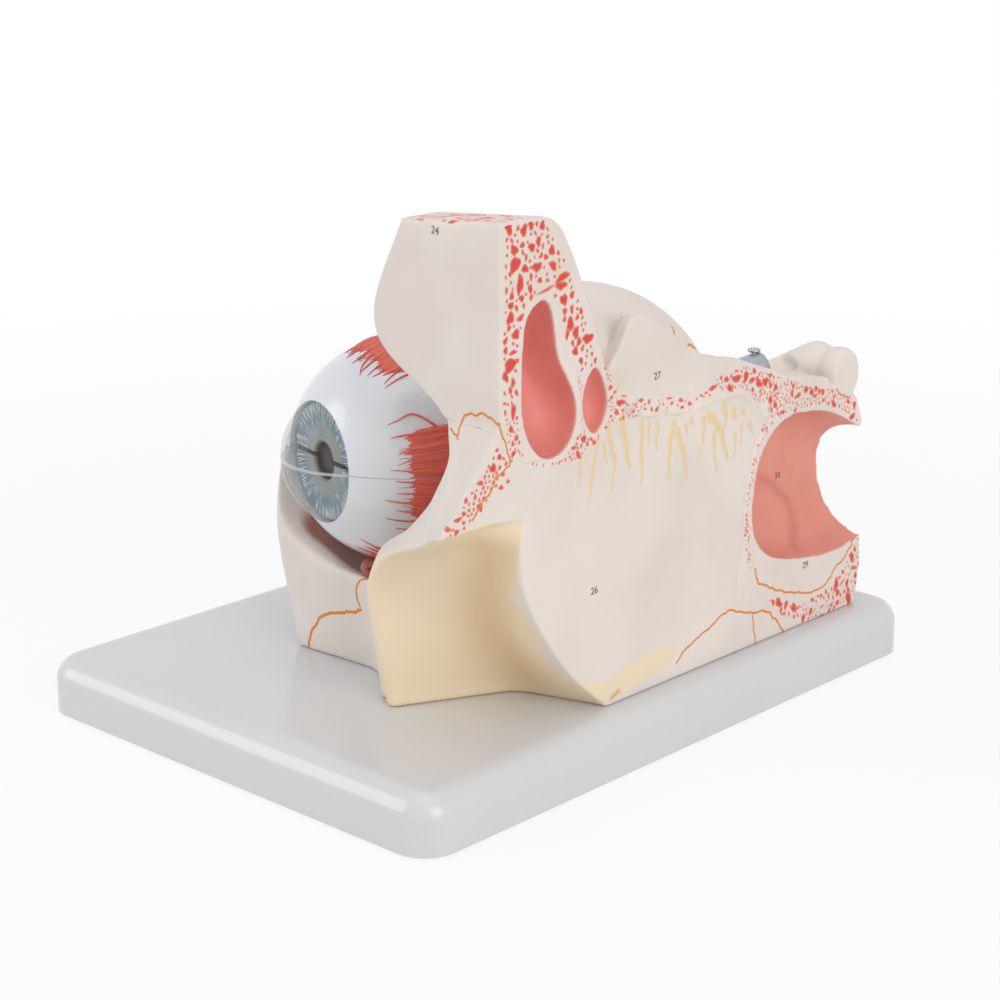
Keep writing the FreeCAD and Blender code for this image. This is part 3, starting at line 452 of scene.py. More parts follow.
# smaller ones, scattered: outline in (y, z), how many, least and greatest half width, spacing, stretch
scatter = [
    ([(-82.5, 188.6), (-66, 187.6), (-55.5, 173), (-47, 155), (-40, 140), (-41, 138), (-48, 138), (-55, 150),
      (-59, 163), (-67, 167.5), (-74, 163), (-77.5, 150), (-78, 134), (-83.5, 134), (-83.5, 160)],
     170, 0.6, 1.9, 2.3, 1.6),
    ([(-84, 134), (-78.5, 134), (-76, 118), (-70, 111.5), (-50, 109.5), (-38.6, 115), (-33, 119),
      (-21, 118.5), (-21, 122.5), (-33.8, 127.5), (-33, 133), (-37, 138), (-33.5, 129), (-36, 118),
      (-41, 114.6),
      (-48, 118), (-54, 112.5), (-64, 110.8), (-71, 113), (-78, 118), (-80.5, 115)],
     110, 0.45, 1.1, 1.7, 1.4),
    ([(-50.5, 140), (-47.5, 120), (-45.5, 116), (-48, 125), (-47.5, 134)], 26, 0.3, 0.5, 1.3, 1.2),
    ([(-86, 121), (-81.5, 114.6), (-86.5, 109.5), (-98, 99.5), (-109, 96.5), (-107, 99.5), (-95.5, 111.5)],
     60, 0.6, 1.5, 2.1, 1.3),
    ([(-26.5, 125), (9, 118.5), (9, 116.5), (-24, 120.5)], 13, 0.5, 1.0, 2.6, 1.2),
    ([(8, 117.2), (21, 123), (37.3, 124.5), (54.5, 118.5), (54.5, 110.5), (44, 111), (38, 117.5), (25, 119),
      (13, 117.8)], 120, 0.5, 1.7, 1.75, 1.6),
    ([(53, 119), (72, 112.2), (89.7, 107), (104, 101.2), (107.5, 89), (104, 94.5), (90, 101.5), (74, 104.2),
      (57.5, 103), (50.5, 104.5)], 170, 0.4, 1.3, 1.75, 1.6),
    ([(52, 105), (55, 101.5), (46.8, 93), (42.3, 76), (43.3, 62), (46.5, 53), (43.5, 48), (40.8, 60),
      (41.2, 76), (44.4, 92)], 75, 0.28, 0.62, 1.25, 1.8),
    ([(56.3, 35.7), (75.1, 29.5), (94.0, 30.3), (100, 36), (107, 41.2), (110.5, 46.5), (112, 44), (112, 32),
      (110.5, 24), (97.9, 22), (78.6, 22.3), (64, 27.5)], 95, 0.4, 1.7, 2.0, 2.0),
]
foreheadTop = [(33, -83), (82, -85), (82, -70), (60, -69), (40, -72)]    # sawn top, (x, y)


# which places of two coordinates lie inside an outline
def inside(first, second, outline):
    mask = np.zeros(len(first), bool)
    for (a0, b0), (a1, b1) in zip(outline, outline[1:] + outline[:1]):
        if b0 == b1:
            continue
        crosses = (b0 > second) != (b1 > second)
        mask ^= crosses & (first < (a1 - a0) * (second - b0) / (b1 - b0) + a0)
    return mask


# a closed line through the points, without corners
def smoothLoop(points, count=8):
    loop = np.array(points, float)
    before, after, beyond = np.roll(loop, 1, 0), np.roll(loop, -1, 0), np.roll(loop, -2, 0)
    rows = []
    for i in range(count):
        t = i / count
        rows.append(0.5 * (2 * loop + (after - before) * t
                           + (2 * before - 5 * loop + 4 * after - beyond) * t * t
                           + (3 * loop - before - 3 * after + beyond) * t ** 3))
    return [tuple(p) for p in np.stack(rows, 1).reshape(-1, loop.shape[1])]


outOfReach = 99.0                  # distance given to places that a line is not measured for
unpainted = -3.0                   # depth of a colour field where nothing is painted


# distance from every place to a line of points, and the share of the way along it
def lineDistance(places, points, reach=6.0):
    nearest, along = np.full(len(places), outOfReach), np.zeros(len(places))
    line = np.array(points, float)
    low, high = line.min(0) - reach, line.max(0) + reach
    near = np.all((places > low) & (places < high), axis=1)
    spots = places[near]
    if not len(spots):
        return nearest, along
    best, share = np.full(len(spots), outOfReach), np.zeros(len(spots))
    lengths = np.linalg.norm(np.diff(line, axis=0), axis=1)
    total, passed = lengths.sum(), 0.0
    for start, end, length in zip(line, line[1:], lengths):
        way = end - start
        t = np.clip((spots - start) @ way / (length * length), 0, 1)
        distance = np.linalg.norm(spots - start - t[:, None] * way, axis=1)
        closer = distance < best
        best = np.where(closer, distance, best)
        share = np.where(closer, (passed + t * length) / total, share)
        passed += length
    nearest[near], along[near] = best, share
    return nearest, along


# a line as a hand draws it: more points, each a little off its place
def drawn(points, chance, wander, pitch=1.6):
    line = [np.array(points[0], float)]
    for start, end in zip(points, points[1:]):
        start, end = np.array(start, float), np.array(end, float)
        count = max(1, round(np.linalg.norm(end - start) / pitch))
        for i in range(1, count + 1):
            off = np.array([chance.gauss(0, wander * 0.4) for _ in range(len(start))])
            line.append(start + (end - start) * i / count + off)
    return line


def smoothStep(value, low, high):
    t = np.clip((value - low) / (high - low), 0, 1)
    return t * t * (3 - 2 * t)


# height of the forehead's sawn top
def topHeight(x):
    return casting["blockTop"] - casting["topFall"] * (casting["cutX"] - x)


# a thread's half width narrows from its root to its tip
def threadHalf(width, share):
    return width * (1.45 - 0.75 * share)


# the large marrow spaces, with the small ones thrown in where there is room
def scatterMarrow():
    chance = random.Random(11)
    spots = [(y, z, a, b, math.radians(tilt)) for y, z, a, b, tilt in marrow]
    keepOff = [np.array(smoothLoop(outline)) for outline, _, _ in sinuses]
    for outline, count, least, most, spacing, stretch in scatter:
        ys, zs = [p[0] for p in outline], [p[1] for p in outline]
        placed, tries = 0, 0
        while placed < count and tries < count * 60:
            tries += 1
            y, z = chance.uniform(min(ys), max(ys)), chance.uniform(min(zs), max(zs))
            if not inside(np.array([y]), np.array([z]), outline)[0]:
                continue
            size = least + (most - least) * chance.random() ** 2.2
            room = spacing * 0.5 + 0.85 * size - 0.5
            if any(math.hypot(y - s[0], z - s[1]) < room + 0.68 * max(s[2], s[3]) for s in spots):
                continue
            if any(np.hypot(*(loop - (y, z)).T).min() < size + 0.9 for loop in keepOff):
                continue
            spots.append((y, z, size, size * chance.uniform(1, stretch), chance.uniform(-0.7, 0.7)))
            placed += 1
    return spots


# how deep a point lies inside the nearest red marrow space, in mm
def marrowField(y, z, spots):
    chance = random.Random(23)
    field = np.full(len(y), unpainted)
    for spotY, spotZ, a, b, tilt in spots:
        phases = [chance.uniform(0, 6.28) for _ in range(3)]
        reach = max(a, b) * 1.6 + 1.0
        near = np.nonzero((np.abs(y - spotY) < reach) & (np.abs(z - spotZ) < reach))[0]
        if not len(near):
            continue
        dy, dz = y[near] - spotY, z[near] - spotZ
        u = (dy * math.cos(tilt) + dz * math.sin(tilt)) / a
        v = (-dy * math.sin(tilt) + dz * math.cos(tilt)) / b
        turn = np.arctan2(v, u)
        ragged = (1 + 0.10 * np.sin(2 * turn + phases[0]) + 0.11 * np.sin(3 * turn + phases[1])
                  + 0.06 * np.sin(5 * turn + phases[2]))
        depth = (ragged - np.hypot(u, v)) * min(a, b)
        field[near] = np.maximum(field[near], depth)
    return field


def vertexPlaces(mesh):
    flat = np.empty(len(mesh.vertices) * 3, np.float32)
    mesh.vertices.foreach_get("co", flat)
    return flat.reshape(-1, 3).astype(float) / mm


# a bone's CAD mesh with its loose triangles merged
def mergedBone(name):
    bm = bmesh.new()
    bm.from_mesh(nodes[name].data)
    bmesh.ops.remove_doubles(bm, verts=bm.verts, dist=0.002 * mm)
    return meshFrom(bm, name + "Copy")


# all the bones under one skin
def joinedCasting():
    bm = bmesh.new()
    for name in boneNodes:
        bm.from_mesh(mergedBone(name))
    block = linkMesh("castingBlock", meshFrom(bm, "castingBlock"))
    remesh = block.modifiers.new("skin", "REMESH")
    remesh.mode = "VOXEL"
    remesh.voxel_size = casting["voxel"] * mm
    mesh = modified(block)
    drop(block)
    return mesh


# pushes what stands outside the round corner back onto it; both flat faces run along x
def roundCorner(bm, radius):
    (lowZ, lowY), (highZ, highY) = casting["backFoot"], casting["backHead"]
    slope = np.array([highZ - lowZ, lowY - highY])
    slope /= np.linalg.norm(slope)
    top = np.array([0.0, 1.0])
    for v in bm.verts:
        x, y, z = v.co / mm
        if z < lowZ or y < highY - 22 or x < 20:    # only the forehead's back corner
            continue
        reach = np.array([topHeight(x) - radius, slope @ (lowY, lowZ) - radius])
        centre = np.linalg.solve(np.array([top, slope]), reach)
        share = np.linalg.solve(np.array([top, slope]).T, np.array([y, z]) - centre)
        away = np.linalg.norm(np.array([y, z]) - centre)
        if share.min() > 0 and away > radius:
            y, z = centre + (np.array([y, z]) - centre) * radius / away
            v.co = Vector((x, y, z)) * mm


# rounds the edges of the skinned casting
def softenCasting(mesh):
    bm = bmesh.new()
    bm.from_mesh(mesh)
    roundCorner(bm, casting["cornerRadius"])
    everywhere = ((-999,) * 3, (999,) * 3, casting["smoothing"])
    for low, high, passes in [everywhere] + casting["softened"]:
        chosen = [v for v in bm.verts if all(a < c / mm < b for a, c, b in zip(low, v.co, high))]
        for _ in range(passes):
            bmesh.ops.smooth_vert(bm, verts=chosen, factor=0.5,
                                  use_axis_x=True, use_axis_y=True, use_axis_z=True)
    return bm


# a line with every point moved to the nearest place of the surface
def laidOn(skin, line):
    return [np.array(skin.find_nearest(Vector(point) * mm)[0]) / mm for point in line]


# makes the mesh finer where it will be painted
def refineCasting(bm, lines):
    def onSawnFace(v):
        return v.co.x > (casting["cutX"] - 0.35) * mm

    def onSawnTop(v):
        return v.co.z > (topHeight(v.co.x / mm) - 0.8) * mm

    edges = {e for f in bm.faces if all(map(onSawnFace, f.verts)) for e in f.edges}
    edges |= {e for f in bm.faces if all(map(onSawnTop, f.verts)) for e in f.edges}
    bmesh.ops.subdivide_edges(bm, edges=list(edges), cuts=1, use_grid_fill=True)
    for reach in casting["fineReach"]:
        bm.verts.ensure_lookup_table()
        places = np.array([v.co for v in bm.verts]) / mm
        nearest = np.full(len(places), outOfReach)
        for points in lines:
            nearest = np.minimum(nearest, lineDistance(places, points, 3.0)[0])
        close = nearest < reach
        edges = {e for f in bm.faces if any(close[v.index] for v in f.verts)
                 for e in f.edges if e.calc_length() > 0.3 * mm}
        bmesh.ops.subdivide_edges(bm, edges=list(edges), cuts=1, use_grid_fill=True)
    return meshFrom(bm, "castingFine")


# 1 on a line, fading to nothing over a little more than the width
def alongLine(places, points, width, reach=6.0):
    return np.exp(-(lineDistance(places, points, reach)[0] / width) ** 2)


# raised and sunken work on the sawn face
def carve(mesh, spots, threadLines):
    places = vertexPlaces(mesh)
    on = np.nonzero(places[:, 0] > casting["cutX"] - 0.3)[0]
    y, z = places[on, 1], places[on, 2]
    flat = np.c_[y, z]
    lift = -casting["marrowDepth"] * smoothStep(marrowField(y, z, spots), 0.0, 0.6)
    for width, line in threadLines:
        distance, share = lineDistance(flat, line)
        swell = np.sqrt(np.clip(1 - (distance / threadHalf(width, share)) ** 2, 0, 1))
        lift = np.maximum(lift, casting["threadHeight"] * swell * (1 - 0.4 * share))
    band = smoothLoop(sieveLower + sieveUpper, 4)
    border = lineDistance(flat, band + band[:1], 8.0)[0]
    border = np.where(inside(y, z, band), border, -border)
    lumps = 0.5 * np.sin(y * 1.15) * np.sin(z * 0.9 + y * 0.31) + 0.3 * np.sin(y * 0.47 + 1)
    lift = lift + (casting["sieveHeight"] + lumps) * smoothStep(border, -0.4, 0.9)
    lift = lift + casting["ridgeHeight"] * alongLine(flat, ridge, casting["ridgeWidth"])
    lift = lift - casting["grooveDepth"] * alongLine(flat, groove, casting["grooveWidth"])
    places[on, 0] += lift * smoothStep(places[on, 0], casting["cutX"] - 0.3, casting["cutX"] - 0.1)
    mesh.vertices.foreach_set("co", (places * mm).astype(np.float32).ravel())
    mesh.update()


# colour fields, stored on the vertices in mm or as shares
def paintFields(mesh, spots, threadLines, sutureLines, topSpots):
    places = vertexPlaces(mesh)
    x, y, z = places.T
    face = x > casting["cutX"] - 1.2
    marrowDepth = np.full(len(x), unpainted)
    marrowDepth[face] = marrowField(y[face], z[face], spots)
    topSide = z > topHeight(x) - 1.0
    marrowDepth[topSide] = marrowField(x[topSide], y[topSide], topSpots)
    suture = np.full(len(x), unpainted)
    for width, line in sutureLines:
        suture = np.maximum(suture, width - lineDistance(places, line)[0])
    thread = np.full(len(x), unpainted)
    flat = np.c_[y[face], z[face]]
    for width, line in threadLines:
        distance, share = lineDistance(flat, line)
        thread[face] = np.maximum(thread[face], 1 - distance / threadHalf(width, share))
    sinus = np.zeros(len(x))
    deep = smoothStep(casting["cutX"] - x, 0.35, 1.0)
    for outline, slack, floor in sinuses:
        loop = smoothLoop(outline)
        border = lineDistance(np.c_[y, z], loop + loop[:1], slack + 1.0)[0]
        within = (inside(y, z, loop) | (border < slack)) & (x > casting["cutX"] - floor - 0.8) & (y > -80)
        sinus = np.where(within, deep, sinus)
    # the tan field's border leans backward with depth, as the dish does
    shifted = y - 0.35 * np.clip(casting["cutX"] - x, 0, 30)
    border = lineDistance(np.c_[shifted, z], tanOutline + tanOutline[:1], 12.0)[0]
    border = np.where(inside(shifted, z, tanOutline), border, -border)
    ceiling = np.interp(x, *zip(*tanCeiling))
    tan = smoothStep(border, -1.0, 1.6) * smoothStep(x, 22.0, 25.0) * smoothStep(ceiling - z, -0.5, 1.0)
    # ochre: painted shade along the crest's front edge, and a short line on the sawn face by the foot
    ochre = alongLine(places, roofOchreShade, 3.2, 12) + 1.3 * alongLine(places, footOchre, 0.9, 12)
    # painted shade: the lower bowl near the eye turns darker, fading with the distance from the eye's centre
    fromEye = np.linalg.norm(places - casting["bowlCentre"], axis=1)
    near, far = casting["bowlShadeReach"]
    brown = (smoothStep(-fromEye, -far, -near) * smoothStep(y, -58, -50) * smoothStep(-z, -88, -76)
             * smoothStep(x, -60, -44))
    fields = {"marrow": marrowDepth, "suture": suture, "thread": thread, "sinus": sinus, "tan": tan,
              # the field along the dish's deepest line is painted shade
              "hollow": alongLine(places, tanShadeLine, casting["tanShadeWidth"], 40.0), "ochre": ochre,
              # the field along the sinus's fold is painted shade
              "brown": brown, "crease": alongLine(places, creaseShadeLine, casting["creaseShadeWidth"])}
    for name, values in fields.items():
        layer = mesh.attributes.new(name, "FLOAT", "POINT")
        layer.data.foreach_set("value", values.astype(np.float32))


# an outline drawn out along x (axis 0) or along z (axis 2)
def prism(outline, low, high, axis):
    bm = bmesh.new()
    corners = [(low, a, b) if axis == 0 else (a, b, low) for a, b in outline]
    face = bm.faces.new([bm.verts.new([along * mm for along in corner]) for corner in corners])
    grown = bmesh.ops.extrude_face_region(bm, geom=[face], use_keep_orig=True)
    reach = (high - low) * mm
    bmesh.ops.translate(bm, vec=(reach, 0, 0) if axis == 0 else (0, 0, reach),
                        verts=[v for v in grown["geom"] if isinstance(v, bmesh.types.BMVert)])
    bmesh.ops.recalc_face_normals(bm, faces=bm.faces)
    return bm


def rect(a0, a1, b0, b1):
    return [(a0, b0), (a1, b0), (a1, b1), (a0, b1)]


def sliced(bm, point, normal):
    cut = bmesh.ops.bisect_plane(bm, geom=bm.verts[:] + bm.edges[:] + bm.faces[:],
                                 plane_co=Vector(point) * mm, plane_no=normal, clear_inner=True)
    edges = [e for e in cut["geom_cut"] if isinstance(e, bmesh.types.BMEdge)]
    bmesh.ops.holes_fill(bm, edges=edges)
    bmesh.ops.recalc_face_normals(bm, faces=bm.faces)
    return bm


# where one bone meets the next, mm
joints = {
    "far": 200,                    # beyond the casting on every side
    "nasion": 125,                 # height of the joint between forehead and nasal bone
    "nasalBack": -75,
    "frontalFloor": 113,
    "frontalBack": -35,
    "overlap": 0.2,
    "septumBack": 42,
    "septumSide": 50,
    "cristaSide": 79,
    "cartilageSide": 24,
    "cheekSide": -4,
    "cartilageBack": [(-13, -20), (-34, 21), (-75, 98)],    # (y, z), from below the foot up
    "maxillaStep": -10,            # the maxilla is wider behind this
    "nasalPlane": [(84, -98, 100), (84, -81, 116), (36, -84, 74)],
    "cheekPlane": ((-32, 0, 22), (-1, 0, 0.86)),            # a place on it and its normal
}


# the cells that part the casting, in the order of cutting; the septum is what is left
def boneCells():
    far, nasion, floor = joints["far"], joints["nasion"], joints["frontalFloor"]
    nasalBack, frontalBack = joints["nasalBack"], joints["frontalBack"]
    septumBack, septumSide = joints["septumBack"], joints["septumSide"]
    cristaSide, cartilageSide = joints["cristaSide"], joints["cartilageSide"]
    tip, root, side = [Vector(point) for point in joints["nasalPlane"]]
    nasal = sliced(prism(rect(-far, nasalBack, 0, nasion), -far, far, 0), tip, (root - tip).cross(side - tip))
    cheek = sliced(prism(rect(-far, 0, 0, nasion), -far, joints["cheekSide"], 0), *joints["cheekPlane"])
    forehead = [(-far, nasion), (nasalBack, nasion), (nasalBack, floor), (frontalBack, floor),
                (frontalBack, far + 100), (-far, far + 100)]
    cartilage = list(joints["cartilageBack"])
    (_, foot), (_, head) = cartilage[0], cartilage[-1]
    cartilage = [(-far, foot)] + cartilage + [(-far, head)]
    roof = rect(frontalBack - joints["overlap"], septumBack, floor, far + 100)
    step = joints["maxillaStep"]
    orbitFloor = [(-far, -far), (cartilageSide, -far), (cartilageSide, step), (septumSide, step),
                  (septumSide, far), (-far, far)]
    return [
        ("frontal_bone", prism(forehead, -far, far, 0)),
        ("nasal_bone", nasal),
        ("septal_cartilage", prism(cartilage, cartilageSide, far, 0)),
        ("crista_galli", prism(roof, cristaSide, far, 0)),
        ("orbital_roof", prism(roof, -far, cristaSide, 0)),
        ("sphenoid_bone", prism(rect(septumBack, far + 100, foot, far + 100), -far, far, 0)),
        ("zygomatic_bone", cheek),
        ("maxilla", prism(orbitFloor, foot, floor, 2)),
    ]


# the part of the mesh inside the cell, or what is left outside it
def parted(mesh, cell, operation):
    block = linkMesh("castingBlock", mesh)
    cutter = linkMesh("castingCutter", cell)
    part = block.modifiers.new("part", "BOOLEAN")
    part.operation, part.object, part.solver = operation, cutter, "MANIFOLD"
    result = modified(block)
    drop(block)
    drop(cutter)
    return result


# the flat joint faces meet the outer skin at a crisp edge
def crispJoints(mesh):
    bm = bmesh.new()
    bm.from_mesh(mesh)
    for face in bm.faces:
        face.smooth = True
    for edge in bm.edges:
        edge.smooth = not (len(edge.link_faces) == 2
                           and edge.link_faces[0].material_index != edge.link_faces[1].material_index)
    for face in bm.faces:
        face.material_index = 0
    bm.to_mesh(mesh)
    bm.free()


def castBoneMaterial():
    shade = Shade("castBone")
    here = shade.place()
    drift, grain = shade.noise(here, 45, 3.0), shade.noise(here, 1.2, 3.0)
    colour = shade.mix(shade.step(drift, 0.3, 0.7), linear(casting["boneDark"]), linear(casting["boneLight"]))
    tan = shade.painted("tan")
    streak = shade.noise(here, 16, 3.0)
    # painted shade: the tan turns darker along the dish's deepest line
    tanTone = shade.mix(shade.painted("hollow") * 0.9, linear(casting["tan"]), linear(casting["tanShaded"]))
    tanShare = shade.step(tan + (streak - 0.5) * 0.25 * (1 - tan), 0.03, 0.95)
    colour = shade.mix(tanShare, colour, tanTone)
    # ochre: painted shade by the crest, and a short line by the foot
    colour = shade.mix(shade.painted("ochre") * 0.75, colour, linear(casting["ochre"]))
    # painted shade in the orbit's bowl under the eye
    brown = shade.step(shade.painted("brown") + (streak - 0.5) * 0.3, 0.1, 0.9)
    colour = shade.mix(brown, colour, linear(casting["floorShadeBrown"]))
    _, y, _ = shade.split(here)
    backward = shade.step(y, -0.01, 0.03)
    sinusTone = shade.mix(backward, linear(casting["sinusDeep"]), linear(casting["sinusPale"]))
    blush = shade.step(streak, 0.35, 0.75) * 0.25
    sinusTone = shade.mix(blush, sinusTone, linear(casting["sinusBlush"]))
    # painted shade: darker red along the fold of the sphenoid's sinus
    sinusTone = shade.mix(shade.painted("crease") * 0.5, sinusTone, linear(casting["crease"]))
    colour = shade.mix(shade.painted("sinus"), colour, sinusTone)
    wobble = (shade.noise(here, 0.9, 2.0) - 0.5) * 0.5
    thread = shade.painted("thread") + wobble * 0.6
    colour = shade.mix(shade.step(thread, 0.0, 0.55) * 0.85, colour, linear(casting["thread"]))
    marrowDepth = shade.painted("marrow") + wobble * 0.7
    redTone = shade.mix(shade.step(marrowDepth, 0.1, 0.9), linear(casting["redRim"]), linear(casting["red"]))
    red = shade.step(marrowDepth, -0.05, 0.22)
    colour = shade.mix(red, colour, redTone)
    suture = shade.step(shade.painted("suture") + wobble * 0.25, -0.08, 0.12)
    colour = shade.mix(suture, colour, linear(casting["suture"]))
    rough = 0.42 + grain * 0.12 - red * 0.08
    normal = shade.bump(grain * 0.6 + drift * 0.4, 0.05, 0.5)
    return shade.done(shade.plastic({"Base Color": colour, "Roughness": rough, "Specular IOR Level": 0.45,
                                     "Normal": normal}))


def treeOf(mesh):
    bm = bmesh.new()
    bm.from_mesh(mesh)
    tree = BVHTree.FromBMesh(bm)
    bm.free()
    return tree


# plain part numbers written on the surfaces
numbers = {
    "height": 2.5,                 # mm
    "stroke": 0.05,                # thickness of the ink, mm
    "lift": 0.06,
    "colour": "#5A5753",
    "wornColour": "#7A7772",
    "list": [                      # text, node, place in mm, degrees turned clockwise
        ("24", "frontal_bone", (55.8, -84.1, 183.6), 4),
        ("26", "nasal_septum", (84, -40.5, 63.6), 0),
        ("27", "crista_galli", (84, -10.2, 129.8), 0),
        ("30", "sphenoid_bone", (62, 88.8, 70.9), 0),
        ("29", "sphenoid_bone", (84, 77.4, 44.0), 0),
        ("12", "sclera_upper", (-7.8, -55.7, 129.1), 12),
    ],
}


def inkMaterial():
    shade = Shade("numberInk")
    tone = shade.noise(shade.place(), 0.6, 2.0)
    colour = shade.mix(tone, linear(numbers["colour"]), linear(numbers["wornColour"]))
    return shade.done(shade.plastic({"Base Color": colour, "Roughness": 0.5 + tone * 0.1}))


# each number lies on the skin of its piece
def makeNumbers(skins):
    ink = inkMaterial()
    for text, name, place, turn in numbers["list"]:
        letters = bpy.data.curves.new("number" + text, "FONT")
        letters.body = text
        letters.size = numbers["height"] * 1.4 * mm    # a digit is this much lower than the letter size
        letters.extrude = numbers["stroke"] * mm
        letters.align_x, letters.align_y = "CENTER", "CENTER"
        letters.resolution_u = 4
        mesh = meshOfCurve("number" + text, letters)
        facing = skins[name].find_nearest(Vector(place) * mm)[1]
        across = Vector((0, 0, 1)).cross(facing).normalized()
        turned = Matrix.Rotation(-math.radians(turn), 3, facing)
        across, upward = turned @ across, turned @ facing.cross(across)
        for v in mesh.vertices:
            spot = Vector(place) * mm + across * v.co.x + upward * v.co.y
            near, normal = skins[name].find_nearest(spot)[:2]
            v.co = near + normal * (numbers["lift"] * mm + v.co.z)
        piece = linkMesh("number" + text, mesh, False)
        paint(piece, ink)
        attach(piece, "eye_upper" if name == "sclera_upper" else "orbit")
    print("numbers written:", len(numbers["list"]))


# marrow spaces of the sawn top, in (x, y)
def scatterTop(chance):
    found = []
    for _ in range(casting["topSpots"]):
        x, y = chance.uniform(33, 82), chance.uniform(-86, -64)
        if inside(np.array([x]), np.array([y]), foreheadTop)[0]:
            longer, shorter = chance.uniform(0.8, 2.6), chance.uniform(0.6, 1.1)
            found.append((x, y, longer, shorter, chance.uniform(-0.4, 0.4)))
    return found


def makeCasting():
    chance = random.Random(5)
    spots = scatterMarrow()
    threadLines = [(width, drawn(points, chance, 0.5, 2.2)) for width, points in threads]
    sutureLines = [(width, drawn(points, chance, 0.5)) for width, points in sutures]
    topSpots = scatterTop(chance)
    solid = softenCasting(joinedCasting())
    print("casting skinned:", len(solid.verts), "vertices")
    skin = BVHTree.FromBMesh(solid)
    sutureLines = [(width, laidOn(skin, line)) for width, line in sutureLines]
    lines = [line for _, line in sutureLines] + [sawn(line) for _, line in threadLines]
    rest = refineCasting(solid, lines)
    carve(rest, spots, threadLines)
    print("casting carved:", len(rest.vertices), "vertices")
    rest.materials.clear()
    rest.materials.append(bpy.data.materials.new("outerSkin"))
    pieces = {}
    for name, cell in boneCells():
        shape = meshFrom(cell, name + "Cell")
        shape.materials.append(bpy.data.materials["outerSkin"])
        shape.materials.append(bpy.data.materials.new("jointFace"))
        shape.polygons.foreach_set("material_index", [1] * len(shape.polygons))
        pieces[name] = parted(rest, shape, "INTERSECT")
        rest = parted(rest, shape, "DIFFERENCE")
        print("  ", name, len(pieces[name].vertices))
    pieces["nasal_septum"] = rest
    material = castBoneMaterial()
    for name, mesh in pieces.items():
        crispJoints(mesh)
        paintFields(mesh, spots, threadLines, sutureLines, topSpots)
        piece = linkMesh(name + "Casting", mesh)
        paint(piece, material)
        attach(piece, "orbit")
        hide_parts(name)
    print("casting parted into", len(pieces), "bones")
    skins = {name: treeOf(mesh) for name, mesh in pieces.items()}
    skins["sclera_upper"] = treeOf(nodes["sclera_upper"].data)
    makeNumbers(skins)


makeCasting()

# base, feet and screws
base = {
    "white": "#DADBDD",
    "shade": "#D3D4D7",
    "rough": 0.22,
    "rubber": ("#151516", "#1C1C1D"),
    "steel": ("#9FA2A6", "#B9BBBE"),
}


def baseMaterial():
    shade = Shade("baseGloss")
    here = shade.place()
    drift, ripple = shade.noise(here, 90, 2.0), shade.noise(here, 26, 2.0)
    colour = shade.mix(drift, linear(base["shade"]), linear(base["white"]))
    return shade.done(shade.plastic({
        "Base Color": colour, "Roughness": base["rough"] + drift * 0.06, "Coat Weight": 0.25,
        "Coat Roughness": 0.1, "Normal": shade.bump(ripple, 0.03, 0.4)}))


# grain and bump in mm
def grainedMaterial(name, tones, metallic, grainSize, rough, height):
    shade = Shade(name)
    grain = shade.noise(shade.place(), grainSize, 3.0)
    return shade.done(shade.plastic({
        "Base Color": shade.mix(grain, linear(tones[0]), linear(tones[1])), "Metallic": metallic,
        "Roughness": rough + grain * 0.15, "Normal": shade.bump(grain, height)}))


dress("base_plate", baseMaterial())
dress("rubber_feet", grainedMaterial("footRubber", base["rubber"], 0.0, 0.5, 0.75, 0.05))
steel = grainedMaterial("brightSteel", base["steel"], 1.0, 0.35, 0.22, 0.02)
dress("fixing_screws", steel)
dress("nerve_eyelet", steel)
print("base dressed")

# eyeball
eye = {
    "centre": (-6.0, -38.0, 94.4),
    "turn": 14.6,                  # degrees away from the median plane
    "scleraRadius": 39.0,          # mm
    "scleraWall": 3.0,
    "turnSteps": 72,               # faces around half of a turned part
    "white": "#E4E6EA",
    "whiteShade": "#DDE0E6",
    "seam": "#8B9095",
    "inside": "#C9BFB8",
    "clear": "#F8FAFA",
    # colour of the painted highlight on the joint of the clear halves
    "seamHighlight": "#E9EDEF",
    # painted parts: light and dark tone, mottling in mm, roughness, bump in mm, coat
    "choroidMaroon": ("#8E3A37", "#6B2827", 6.0, 0.4, 0.15, 0.2),
    "retinaOrange": ("#D98A5E", "#C46B45", 9.0, 0.35, 0.08, 0.2),
    "ciliaryBrown": ("#6B3A33", "#4B2320", 2.5, 0.45, 0.25, 0.0),
    "pinWhite": ("#E8E8E4", "#DCDCD8", 2.0, 0.3, 0.02, 0.0),
    "irisEdge": ("#6B2E2A", "#4A1D1B", 3.0, 0.4, 0.05, 0.0),
    "nerveGrey": ("#AEB6BC", "#98A2A9", 8.0, 0.3, 0.05, 0.3),
    "obliqueRed": ("#B9645C", "#9A4B45", 3.0, 0.4, 0.15, 0.0),
    # clear parts: tone of the shine, its share face on and how much more at the rim
    "lensClear": ("#C79F99", 0.08, 0.3),
    "vitreousClear": ("#BC6E67", 0.2, 0.3),
}
eyeTurn = math.radians(270 - eye["turn"])
eyePlace = Vector(eye["centre"]) * mm
eyeFrame = Matrix.Translation(eyePlace) @ Matrix.Rotation(eyeTurn, 4, "Z")


# a material whose x runs along the gaze, from the eye's centre
def eyeShade(name):
    shade = Shade(name)
    here = shade.place(tuple(eyePlace), eyeTurn)
    return shade, here, shade.split(here)


